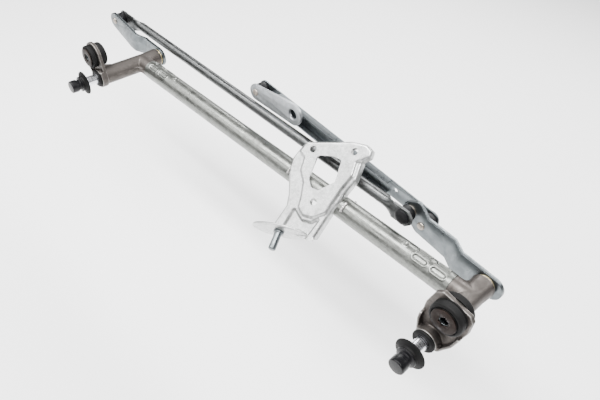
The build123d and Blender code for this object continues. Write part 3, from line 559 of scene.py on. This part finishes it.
class WIPER_OT_frame_tube(WiperOperator, bpy.types.Operator):
    """Frame tube with the slots that are pressed in to lock it on the housings"""
    bl_idname = "wiper.frame_tube"
    bl_label = "Frame Tube"

    def press(self, along, angle, radius):
        """How far the wall is pushed in, in metres, at a distance in millimetres from the nearer end."""
        deepest, rim = 0.0, 0.0
        for row in SLOT_ROWS:
            across = around_tube(angle, row, radius)
            for start in SLOT_STARTS:
                middle = start + SLOT_LENGTH / 2
                reach = SLOT_LENGTH / 2 - SLOT_WIDTH / 2
                lengthwise = max(0.0, abs(along - middle) - reach)
                gap = math.hypot(lengthwise, across) - SLOT_WIDTH / 2
                deepest = max(deepest, 1 - smoothstep(gap, *SLOT_WALL))
                rim = max(rim, lip_share(gap, SLOT_LIP))
        gap = math.hypot(abs(along - DIMPLE_START), around_tube(angle, DIMPLE_ANGLE, radius))
        deepest = max(deepest, 1 - smoothstep(gap, *DIMPLE_WALL))
        rim = max(rim, lip_share(gap, DIMPLE_LIP))
        return deepest * self.sizes.crimp_depth - rim * self.sizes.crimp_rim

    def stations(self, span):
        """Distances along the tube of its rings, close together at the crimped ends."""
        fine = [FINE_STEP * step for step in range(int(CRIMPED_END / FINE_STEP) + 1)]
        plain = span - 2 * CRIMPED_END
        middle = [CRIMPED_END + plain * share / PLAIN_PIECES for share in range(1, PLAIN_PIECES)]
        return fine + middle + [span - step for step in reversed(fine)]

    def execute(self, context):
        self.need("frame_tube")
        low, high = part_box("frame_tube")
        radius = (high.z - low.z) / 2 / MM
        span = (high.x - low.x) / MM
        centre = (low + high) / 2
        rings = []
        for station in self.stations(span):
            along = min(station, span - station)
            ring = []
            for index in range(TUBE_STEPS):
                # angle 0 is the top, and the angle grows towards the spindles' noses
                angle = 360 * index / TUBE_STEPS
                pressed = self.press(along, angle, radius) / MM if along < CRIMPED_END else 0.0
                reach = radius - pressed
                turn = math.radians(angle)
                offset = Vector((station, -reach * math.sin(turn), reach * math.cos(turn))) * MM
                ring.append(Vector((low.x, centre.y, centre.z)) + offset)
            rings.append(ring)
        piece = add_object("frame_tube_crimped", ring_mesh("frame_tube_crimped", rings))
        wall = piece.modifiers.new("wall", "SOLIDIFY")
        wall.thickness = TUBE_WALL * MM
        wall.offset = -1.0
        evaluated(piece)
        smooth_by_angle(piece.data, PRESSED_SMOOTH)
        settle(piece, "frame_tube")
        return {"FINISHED"}


# ---------------------------------------------------------------- housings
class WIPER_OT_housings(WiperOperator, bpy.types.Operator):
    """Die-cast spindle housings with soft corners and a grainy skin"""
    bl_idname = "wiper.housings"
    bl_label = "Spindle Housings"

    def execute(self, context):
        for side in SIDES:
            node = f"{side}_housing"
            self.need(node)
            piece = cast_copy(node, self.sizes.cast_grid, self.sizes.cast_rounding)
            settle(piece, node)
        return {"FINISHED"}


# ---------------------------------------------------------------- motor bracket
SHEET_T = 2.0
RISE = 2.5
SKIRT = 7.0
FOLD_RADIUS = 3.0
FOLD_STEPS = 6
TUBE_PLAY = 0.4
LEAST_SKIRT = 0.05
TWIST = math.radians(15.0)
BOLT_ANGLES = (146.0, 56.0, -99.0)
BOLT_RADIUS = 35.6
HOLE_STEPS = 32
# height of a grid row, and the least distance from an outline, as shares of the grid's size
ROW_PITCH = 0.866
CLEAR_OF_OUTLINE = 0.55
POINT_GAP = 1e-4
DIGITS = 3
# the sheet's outlines, in millimetres across and up from the middle of the bolt circle
SHEET = [(-48, 17), (-39.5, 26.5), (-1, 36), (13, 40), (31, 40.5), (38.5, 36), (39, 28), (31.5, 22),
         (31.5, 1), (25, -17), (24, -24), (18, -38), (8.5, -76), (-46.5, -76), (-38.5, -49),
         (-41, -37), (-51, -12), (-52.5, 5)]
SHEET_CORNER = 4.0
OPEN_END = -72.5
CORNER_SHARE = 0.45
PLATEAU = [(-45, 13.5), (-38.4, 25.2), (-1, 34.8), (13, 38.4), (30, 38.8), (36.4, 34.6), (36.4, 29),
           (25, 20), (26, 4), (19.5, -13), (15, -30), (12, -42), (0, -51), (-12, -52), (-21, -46),
           (-22, -35), (-26, -18), (-35, -6), (-36, 9)]
PLATEAU_CORNER = 3.0
OPENING = [(-21, 15), (-21.5, -12), (-15, -21), (-5, -22), (10.5, -7.5), (9, 17), (-3, 18.5)]
OPENING_CORNER = 3.5
PAN = [(-27, -48), (-33.5, -77), (-1, -77), (8, -49), (-1, -57), (-13, -58)]
PAN_CORNER = 2.0
STEP_PITCH = 3.0
# length, width and thickness
END_PLATE = (70.0, 32.0, 2.5)
END_PLATE_STEPS = 96
END_PLATE_EDGE = 0.9
END_PLATE_FLAT = 6.0
STUD_SHIFT = 0.4
STUD_MIDDLE = 14.75
COLLAR_WALL = 1.6
COLLAR_FLARE = 2.2
COLLAR_EDGE = 0.4
BEAD_GRID = 0.3
BEAD_ROUNDING = 3
RIPPLE_PITCH = 0.45
RIPPLE_PATCHES = 400


def rounded(points, radius, step):
    """A closed outline with its corners run round, as points about step millimetres apart."""
    outline = []
    count = len(points)
    for index in range(count):
        corner = Vector(points[index])
        before = Vector(points[index - 1]) - corner
        after = Vector(points[(index + 1) % count]) - corner
        turn = math.pi - before.angle(after)
        room = CORNER_SHARE * min(before.length, after.length)
        reach = min(radius * math.tan(turn / 2), room)
        start = corner + before.normalized() * reach
        end = corner + after.normalized() * reach
        pieces = max(2, int(turn * radius / step) + 1)
        for part in range(pieces + 1):
            share = part / pieces
            arc = start * (1 - share) ** 2 + corner * 2 * share * (1 - share) + end * share ** 2
            outline.append(arc)
    filled = []
    for point, after in zip(outline, outline[1:] + outline[:1]):
        pieces = max(1, int((after - point).length / step))
        filled += [point.lerp(after, part / pieces) for part in range(pieces)]
    return filled


def inside(point, outline):
    """Whether a point lies inside an outline, by counting the edges to its right."""
    crossings = 0
    x, y = point
    for first, second in zip(outline, outline[1:] + outline[:1]):
        if (first[1] > y) != (second[1] > y):
            if x < first[0] + (y - first[1]) * (second[0] - first[0]) / (second[1] - first[1]):
                crossings += 1
    return crossings % 2 == 1


def signed_gap(point, outline):
    """Distance to an outline, negative inside it."""
    nearest = math.inf
    for first, second in zip(outline, outline[1:] + outline[:1]):
        touch, share = geometry.intersect_point_line(point, first, second)
        if share < 0:
            touch = Vector(first)
        elif share > 1:
            touch = Vector(second)
        nearest = min(nearest, (Vector(point) - Vector(touch[:2])).length)
    return -nearest if inside(point, outline) else nearest


def outward_normals(outline):
    """Unit vectors that point out of a closed outline, one at each of its points."""
    normals = []
    for index, after in closed_pairs(len(outline)):
        run = outline[after] - outline[index - 1]
        normals.append(Vector((run.y, -run.x)).normalized())
    middle = sum(outline, Vector((0, 0))) / len(outline)
    if sum((point - middle).dot(normal) for point, normal in zip(outline, normals)) < 0:
        normals = [-normal for normal in normals]
    return normals


def bracket_plane():
    """The middle of the bolt circle on the sheet's back, and the sheet's across, up and out directions."""
    mount = MOUNTS["motor_hole_upper_left"]
    out = Vector(mount["axis"]).normalized()
    plumb = (Vector((0, 0, 1)) - out * out.z).normalized()
    level = plumb.cross(out)
    across = level * math.cos(TWIST) + plumb * math.sin(TWIST)
    up = out.cross(across)
    turn = math.radians(BOLT_ANGLES[0])
    to_hole = (across * math.cos(turn) + up * math.sin(turn)) * BOLT_RADIUS
    lift = SHEET_T + RISE - mount["dims"]["length_mm"] / 2
    middle = Vector(mount["pos_m"]) - (to_hole + out * lift) * MM
    return middle, across, up, out


class PressedSheet:
    """The bracket's pressed sheet as one surface, its points in millimetres on the sheet's own plane."""

    def __init__(self, bend, grid):
        self.bend = bend
        self.grid = grid
        self.origin, self.across, self.up, self.out = bracket_plane()
        self.edge = rounded(SHEET, SHEET_CORNER, grid)
        self.normals = outward_normals(self.edge)
        self.open_end = [point.y < OPEN_END for point in self.edge]
        self.inner = [point - normal * (0.0 if is_open else FOLD_RADIUS)
                      for point, normal, is_open in zip(self.edge, self.normals, self.open_end)]
        self.plateau = [tuple(point) for point in rounded(PLATEAU, PLATEAU_CORNER, STEP_PITCH)]
        self.pan = [tuple(point) for point in rounded(PAN, PAN_CORNER, STEP_PITCH)]
        self.rings = [self.inner, rounded(OPENING, OPENING_CORNER, grid)] + self.holes()
        self.outlines = [[tuple(point) for point in ring] for ring in self.rings]
        low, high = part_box("frame_tube")
        self.tube_axis = Vector((0, (low.y + high.y) / 2, (low.z + high.z) / 2))
        self.tube_keep = (high.z - low.z) / 2 + TUBE_PLAY * MM

    def holes(self):
        radius = MOUNTS["motor_hole_upper_left"]["dims"]["r_mm"]
        rings = []
        for bolt in BOLT_ANGLES:
            turn = math.radians(bolt)
            middle = Vector((math.cos(turn), math.sin(turn))) * BOLT_RADIUS
            rings.append([middle + Vector((math.cos(angle), math.sin(angle))) * radius
                          for angle in spokes(HOLE_STEPS)])
        return rings

    def place(self, point, height):
        """Where a point of the sheet stands in the frame, its height taken from the sheet's back."""
        return self.origin + (self.across * point[0] + self.up * point[1] + self.out * height) * MM

    def height(self, point):
        """Height of the sheet's front, raised on the plateau and sunk in the pan."""
        raised = smoothstep(signed_gap(point, self.plateau), -self.bend * 0.2, self.bend * 0.8)
        sunk = smoothstep(signed_gap(point, self.pan), -self.bend * 0.5, self.bend * 0.5)
        return SHEET_T + RISE * (1 - raised) - RISE * (1 - sunk)

    def covers(self, point):
        """Whether the sheet has metal at a point."""
        return inside(point, self.outlines[0]) and not any(inside(point, ring) for ring in self.outlines[1:])

    def filling(self):
        """Points of a triangular grid inside the sheet, kept clear of its outlines."""
        cells = {}
        for ring in self.rings:
            for point in ring:
                cells.setdefault((int(point.x // self.grid), int(point.y // self.grid)), []).append(point)
        left = min(point.x for point in self.inner)
        right = max(point.x for point in self.inner)
        bottom = min(point.y for point in self.inner)
        top = max(point.y for point in self.inner)
        points = []
        for row in range(int((top - bottom) / (self.grid * ROW_PITCH)) + 1):
            for column in range(int((right - left) / self.grid) + 1):
                x = left + (column + 0.5 * (row % 2)) * self.grid
                y = bottom + row * self.grid * ROW_PITCH
                spot = Vector((x, y))
                cell_x = int(x // self.grid)
                cell_y = int(y // self.grid)
                near = [point for i in (-1, 0, 1) for j in (-1, 0, 1)
                        for point in cells.get((cell_x + i, cell_y + j), ())]
                if any((point - spot).length < CLEAR_OF_OUTLINE * self.grid for point in near):
                    continue
                if self.covers(spot):
                    points.append(spot)
        return points

    def surface(self, bm):
        """Fill the sheet between its outlines, and return the vertices along its outer one."""
        points, edges = [], []
        for ring in self.rings:
            start = len(points)
            points += ring
            edges += [(start + index, start + after) for index, after in closed_pairs(len(ring))]
        flat, _, faces, *_ = geometry.delaunay_2d_cdt(points + self.filling(), edges, [], 0, POINT_GAP)
        vertices = [bm.verts.new(self.place(point, self.height(point))) for point in flat]
        for face in faces:
            middle = sum((flat[index] for index in face), Vector((0, 0))) / len(face)
            if self.covers(middle):
                bm.faces.new([vertices[index] for index in face])
        found = {(round(point.x, DIGITS), round(point.y, DIGITS)): vertex
                 for vertex, point in zip(vertices, flat)}
        return [found[(round(point.x, DIGITS), round(point.y, DIGITS))] for point in self.inner]

    def room(self, point):
        """How far the skirt may be folded back before it meets the tube, in millimetres."""
        spot = self.place(point, 0.0) - self.tube_axis
        start = Vector((spot.y, spot.z))
        back = Vector((-self.out.y, -self.out.z))
        along = start.dot(back)
        miss = (start - back * along).length
        if miss >= self.tube_keep:
            return SKIRT
        return max(LEAST_SKIRT, (-along - math.sqrt(self.tube_keep ** 2 - miss ** 2)) / MM)

    def skirt(self, bm, line):
        """Fold the sheet's outer edge back, except at the open end."""
        count = len(line)
        depths = [min(SKIRT, self.room(point)) for point in self.edge]
        heights = [self.height(point) for point in self.inner]
        rows = [line]
        for step in range(1, FOLD_STEPS + 2):
            turn = math.pi / 2 * min(step, FOLD_STEPS) / FOLD_STEPS
            row = []
            for index in range(count):
                if self.open_end[index]:
                    row.append(line[index])
                    continue
                deepest = SHEET_T + depths[index]
                sink = deepest if step > FOLD_STEPS else FOLD_RADIUS * (1 - math.cos(turn))
                reach = self.edge[index] - self.normals[index] * FOLD_RADIUS * (1 - math.sin(turn))
                row.append(bm.verts.new(self.place(reach, heights[index] - min(sink, deepest))))
            rows.append(row)
        for first, second in zip(rows, rows[1:]):
            for index, after in closed_pairs(count):
                ring = (first[index], first[after], second[after], second[index])
                corners = list(dict.fromkeys(ring))
                if len(corners) > 2 and bm.faces.get(corners) is None:
                    bm.faces.new(corners)

    def mesh(self, name):
        mesh = bpy.data.meshes.new(name)
        with editing(mesh) as bm:
            self.skirt(bm, self.surface(bm))
            bmesh.ops.dissolve_degenerate(bm, dist=SEAM_GAP, edges=bm.edges)
            bmesh.ops.recalc_face_normals(bm, faces=bm.faces)
            widest = max(bm.faces, key=lambda face: face.calc_area())
            if widest.normal.dot(self.out) < 0:
                bmesh.ops.reverse_faces(bm, faces=bm.faces)
        return mesh


class WIPER_OT_bracket(WiperOperator, bpy.types.Operator):
    """Pressed motor bracket with its folded skirt, oval end plate, stud and weld beads"""
    bl_idname = "wiper.bracket"
    bl_label = "Motor Bracket"

    def end_plate(self, piece):
        """Oval plate across the arm's end, joined to the pressed sheet."""
        pin = MOUNTS["bracket_stud_pin"]
        normal = Vector(pin["axis"]).normalized()
        _, across, _, _ = bracket_plane()
        along = (across - normal * across.dot(normal)).normalized()
        upward = normal.cross(along)
        back = Vector(pin["pos_m"]) - normal * STUD_MIDDLE * MM + along * STUD_SHIFT * MM
        length, width, thickness = END_PLATE
        edge = END_PLATE_EDGE
        bevel = edge * 0.3
        profile = [(-END_PLATE_FLAT, 0.0), (-edge, 0.0), (-bevel, bevel), (0.0, edge),
                   (0.0, thickness - edge), (-bevel, thickness - bevel), (-edge, thickness),
                   (-END_PLATE_FLAT, thickness)]
        with editing(piece.data) as bm:
            rings = []
            for inset, height in profile:
                ring = []
                for turn in spokes(END_PLATE_STEPS):
                    flat = along * (length / 2 + inset) * math.cos(turn)
                    flat += upward * (width / 2 + inset) * math.sin(turn)
                    ring.append(bm.verts.new(back + (flat + normal * height) * MM))
                rings.append(ring)
            bridge(bm, rings)
            bm.faces.new(list(reversed(rings[0])))
            bm.faces.new(rings[-1])
            bmesh.ops.recalc_face_normals(bm, faces=bm.faces)

    def collars(self, piece):
        """Short drawn collars under the three screw holes."""
        origin, across, up, out = bracket_plane()
        dims = MOUNTS["motor_hole_upper_left"]["dims"]
        hole = dims["r_mm"]
        outer = hole + COLLAR_WALL
        foot = SHEET_T + RISE - dims["length_mm"]
        buried = RISE + 0.6 * SHEET_T
        profile = [(hole, buried), (hole, foot + COLLAR_EDGE), (hole + COLLAR_EDGE, foot),
                   (outer - COLLAR_EDGE, foot), (outer, foot + COLLAR_EDGE), (outer, RISE + COLLAR_EDGE),
                   (hole + COLLAR_FLARE, buried)]
        with editing(piece.data) as bm:
            for bolt in BOLT_ANGLES:
                turn = math.radians(bolt)
                middle = origin + (across * math.cos(turn) + up * math.sin(turn)) * BOLT_RADIUS * MM
                rings = []
                for radius, height in profile:
                    ring = []
                    for angle in spokes(HOLE_STEPS):
                        spoke = across * math.cos(angle) + up * math.sin(angle)
                        ring.append(bm.verts.new(middle + (spoke * radius + out * height) * MM))
                    rings.append(ring)
                bridge(bm, rings + rings[:1])
            bmesh.ops.recalc_face_normals(bm, faces=bm.faces)

    def beads(self):
        """Weld beads with the ripples that a moving arc leaves."""
        piece = cast_copy("bracket_welds", BEAD_GRID * MM, BEAD_ROUNDING)
        ripple = self.sizes.bead_ripple
        low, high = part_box("frame_tube")
        axis = (low + high) / 2
        for vertex in piece.data.vertices:
            spoke = Vector((0, vertex.co.y - axis.y, vertex.co.z - axis.z))
            turn = math.atan2(spoke.y, spoke.z) * spoke.length
            wave = math.sin(turn / (RIPPLE_PITCH * MM))
            uneven = noise.noise(vertex.co * RIPPLE_PATCHES)
            vertex.co -= spoke.normalized() * ripple * (0.5 - 0.5 * wave + 0.3 * uneven)
        settle(piece, "bracket_welds")

    def execute(self, context):
        self.need("motor_bracket", "bracket_stud", "bracket_welds")
        sheet = PressedSheet(self.sizes.press_bend / MM, self.sizes.press_grid / MM)
        piece = add_object("motor_bracket_pressed", sheet.mesh("motor_bracket_pressed"))
        wall = piece.modifiers.new("sheet", "SOLIDIFY")
        wall.thickness = SHEET_T * MM
        wall.offset = -1.0
        evaluated(piece)
        self.end_plate(piece)
        self.collars(piece)
        smooth_by_angle(piece.data, PRESSED_SMOOTH)
        settle(piece, "motor_bracket", "bracket_sheet")
        worked("bracket_stud", self.sizes.turned_edge)
        self.beads()
        return {"FINISHED"}


# ---------------------------------------------------------------- grommets
GROMMET_BORE = 6.0
GROMMET_NECK = 12.0
# thickness of the flanges in front of and behind the ear
GROMMET_FLANGES = {"left": (7.5, 9.5), "right": (9.5, 7.5)}
# radius and depth along the ring groove in the front face
FACE_GROOVE = ((12.5, 0.0), (12.8, 0.9), (13.3, 0.9), (13.6, 0.0))
# depth and distance from the ear along the groove round the front flange
RIM_GROOVE = ((0.0, 2.6), (0.7, 2.2), (0.7, 1.6), (0.0, 1.2))
FRONT_SHOULDER = 3.2
FACE_FLAT = 13.9
SHOULDER_RISE = 1.1
REAR_SHOULDER = 2.8
SHOULDER_STEPS = 8
FLANGE_LIP = 0.3
LIP_WIDTH = 0.6


class WIPER_OT_grommets(WiperOperator, bpy.types.Operator):
    """Rubber mounting grommets with their sleeves and star-hole washers"""
    bl_idname = "wiper.grommets"
    bl_label = "Mounting Grommets"

    def profile(self, side, outer, front, rear):
        """Half the grommet's section, from its bore round its outside and back."""
        front_flange, rear_flange = GROMMET_FLANGES[side]
        ear_front = front + front_flange
        ear_rear = rear - rear_flange
        quarter = [math.pi / 2 * step / SHOULDER_STEPS for step in range(SHOULDER_STEPS + 1)]
        soft = min(FRONT_SHOULDER, outer - FACE_FLAT)
        round_rear = REAR_SHOULDER
        points = [(GROMMET_BORE, front)]
        points += [(radius, front + depth) for radius, depth in FACE_GROOVE]
        points += [(outer - soft, front)]
        points += [(outer - soft + soft * math.sin(turn),
                    front + SHOULDER_RISE * soft * (1 - math.cos(turn))) for turn in quarter[1:]]
        points += [(outer - depth, ear_front - gap) for depth, gap in RIM_GROOVE]
        points += [(outer - FLANGE_LIP, ear_front), (GROMMET_NECK, ear_front)]
        points += [(GROMMET_NECK, ear_rear), (outer - FLANGE_LIP, ear_rear), (outer, ear_rear + LIP_WIDTH)]
        points += [(outer - round_rear + round_rear * math.cos(turn),
                    rear - round_rear + round_rear * math.sin(turn)) for turn in quarter]
        return points + [(GROMMET_BORE, rear)]

    def execute(self, context):
        for side in SIDES:
            low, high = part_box(f"{side}_grommet")
            centre = (low + high) / 2
            outer = (high.x - low.x) / 2 / MM
            outline = self.profile(side, outer, (low.y - centre.y) / MM, (high.y - centre.y) / MM)
            piece = lathe(f"{side}_grommet_moulded", outline, centre)
            smooth_by_angle(piece.data, WORKED_SMOOTH)
            settle(piece, f"{side}_grommet")
            worked(f"{side}_grommet_sleeve", self.sizes.turned_edge)
            worked(f"{side}_grommet_washer", self.sizes.sheared_edge, "washer_brown")
        return {"FINISHED"}


# ---------------------------------------------------------------- spindles
class WIPER_OT_spindles(WiperOperator, bpy.types.Operator):
    """Spindle shafts with their bushes, washers, circlips, seals, push-on caps and skirts"""
    bl_idname = "wiper.spindles"
    bl_label = "Spindles"

    def execute(self, context):
        sizes = self.sizes
        for side in SIDES:
            worked(f"{side}_spindle_shaft", sizes.turned_edge)
            for part in ("front_washer", "circlip", "thrust_washer", "front_bush", "rear_bush"):
                worked(f"{side}_{part}", sizes.turned_edge)
            for part in ("nose_seal", "spindle_cap", "spindle_skirt"):
                worked(f"{side}_{part}", sizes.moulded_edge)
        return {"FINISHED"}


# ---------------------------------------------------------------- links, levers and joints
class WIPER_OT_levers(WiperOperator, bpy.types.Operator):
    """Joggled spindle levers and the crank arm, cut from thick sheet"""
    bl_idname = "wiper.levers"
    bl_label = "Levers and Crank"

    def execute(self, context):
        for node in ("left_lever", "right_lever", "crank_arm"):
            self.need(node)
            worked(node, self.sizes.sheared_edge)
        return {"FINISHED"}


class WIPER_OT_ball_joints(WiperOperator, bpy.types.Operator):
    """Riveted ball studs and their plastic sockets and caps"""
    bl_idname = "wiper.ball_joints"
    bl_label = "Ball Joints"

    def execute(self, context):
        for node in sorted(frame["nodes"]):
            if node.endswith("ball_stud"):
                worked(node, self.sizes.turned_edge)
            elif "socket" in node:
                worked(node, self.sizes.moulded_edge)
        return {"FINISHED"}


class WIPER_OT_links(WiperOperator, bpy.types.Operator):
    """Long tubular link with flattened ends, and the short pressed channel link"""
    bl_idname = "wiper.links"
    bl_label = "Links"

    def execute(self, context):
        self.need("long_link", "short_link")
        worked("long_link", self.sizes.sheared_edge, "drawn_steel")
        worked("short_link", self.sizes.sheared_edge)
        return {"FINISHED"}


# ---------------------------------------------------------------- stage
# where the camera looks, in millimetres from the frame tube's middle
LOOK_ALONG = 74.5
LOOK_FORWARD = -27.3
SENSOR = 36.0
NEAR = 0.01
FLOOR_SIZE = 14.0
FLOOR_COLOUR = (0.93, 0.93, 0.93)
SKY_COLOUR = (0.97, 0.98, 1.0, 1.0)
# name, share of the key light's power, size and place from the linkage's middle, in metres
LIGHTS = (
    ("key", 1.0, (2.6, 0.45), (0.0, -0.35, 1.3)),
    ("back", 0.45, (2.6, 0.3), (0.0, 1.1, 0.8)),
    ("front", 0.12, (1.3, 0.35), (-0.66, -0.88, 0.70)),
)


class WIPER_OT_stage(WiperOperator, bpy.types.Operator):
    """Pale floor, soft light and the camera"""
    bl_idname = "wiper.stage"
    bl_label = "Stage"

    def camera(self, view):
        low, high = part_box("frame_tube")
        axis = (low + high) / 2
        target = axis + Vector((LOOK_ALONG, LOOK_FORWARD, 0)) * MM
        level = math.cos(view.elevation)
        outward = Vector((math.sin(view.azimuth) * level, -math.cos(view.azimuth) * level,
                          math.sin(view.elevation)))
        turn = (-outward).to_track_quat("-Z", "Y").to_matrix() @ Matrix.Rotation(view.roll, 3, "Z")
        data = bpy.data.cameras.new("camera")
        data.lens = view.lens
        data.sensor_width = SENSOR
        data.clip_start = NEAR
        camera = add_object("camera", data)
        camera.matrix_world = Matrix.Translation(target + outward * view.distance) @ turn.to_4x4()
        bpy.context.scene.camera = camera

    def light(self, name, power, size, place, target):
        data = bpy.data.lights.new(name, "AREA")
        data.energy = power
        data.shape = "RECTANGLE"
        data.size, data.size_y = size
        lamp = add_object(name, data)
        lamp.location = place
        lamp.rotation_euler = (target - place).to_track_quat("-Z", "Y").to_euler()

    def execute(self, context):
        view = context.scene.wiper_view
        low, high = (Vector(corner) for corner in CAD_BOX)
        middle = (low + high) / 2
        spot = (middle.x, middle.y, low.z - view.floor_gap)
        bpy.ops.mesh.primitive_plane_add(size=FLOOR_SIZE, location=spot)
        floor = context.object
        floor.name = "floor"
        paper = Shader("pale_floor", FLOOR_COLOUR, 0.0, 0.85)
        paper.bump(paper.grain(4.0, 4.0), 0.02, 0.2)
        floor.data.materials.append(paper.material)
        world = bpy.data.worlds.new("studio")
        world.use_nodes = True
        sky = world.node_tree.nodes["Background"]
        sky.inputs["Color"].default_value = SKY_COLOUR
        sky.inputs["Strength"].default_value = view.sky
        context.scene.world = world
        for name, share, size, offset in LIGHTS:
            self.light(name, view.key * share, size, middle + Vector(offset), middle)
        self.camera(view)
        return {"FINISHED"}


# ---------------------------------------------------------------- panel and start
class WIPER_PT_panel(bpy.types.Panel):
    """Lists the builders"""
    bl_label = "Wiper Linkage"
    bl_idname = "WIPER_PT_panel"
    bl_space_type = "VIEW_3D"
    bl_region_type = "UI"
    bl_category = "Wiper"

    def draw(self, context):
        layout = self.layout
        for group in (context.scene.wiper_sizes, context.scene.wiper_finishes, context.scene.wiper_view):
            box = layout.box()
            for key in group.bl_rna.properties.keys():
                if key not in ("rna_type", "name"):
                    box.prop(group, key)
        for operator in BUILD_ORDER:
            layout.operator(operator.bl_idname)


BUILD_ORDER = (
    WIPER_OT_frame_tube,
    WIPER_OT_housings,
    WIPER_OT_bracket,
    WIPER_OT_grommets,
    WIPER_OT_spindles,
    WIPER_OT_levers,
    WIPER_OT_ball_joints,
    WIPER_OT_links,
    WIPER_OT_stage,
)
GROUPS = {"wiper_sizes": WiperSizes, "wiper_finishes": WiperFinishes, "wiper_view": WiperView}


def register():
    for group in GROUPS.values():
        bpy.utils.register_class(group)
    for name, group in GROUPS.items():
        setattr(bpy.types.Scene, name, PointerProperty(type=group))
    for operator in BUILD_ORDER:
        bpy.utils.register_class(operator)
    bpy.utils.register_class(WIPER_PT_panel)


def unregister():
    bpy.utils.unregister_class(WIPER_PT_panel)
    for operator in reversed(BUILD_ORDER):
        bpy.utils.unregister_class(operator)
    for name in GROUPS:
        delattr(bpy.types.Scene, name)
    for group in reversed(GROUPS.values()):
        bpy.utils.unregister_class(group)


def main():
    register()
    FINISH.update(make_finishes(bpy.context.scene.wiper_finishes))
    for operator in BUILD_ORDER:
        group, name = operator.bl_idname.split(".")
        getattr(getattr(bpy.ops, group), name)()


if __name__ == "__main__":
    main()
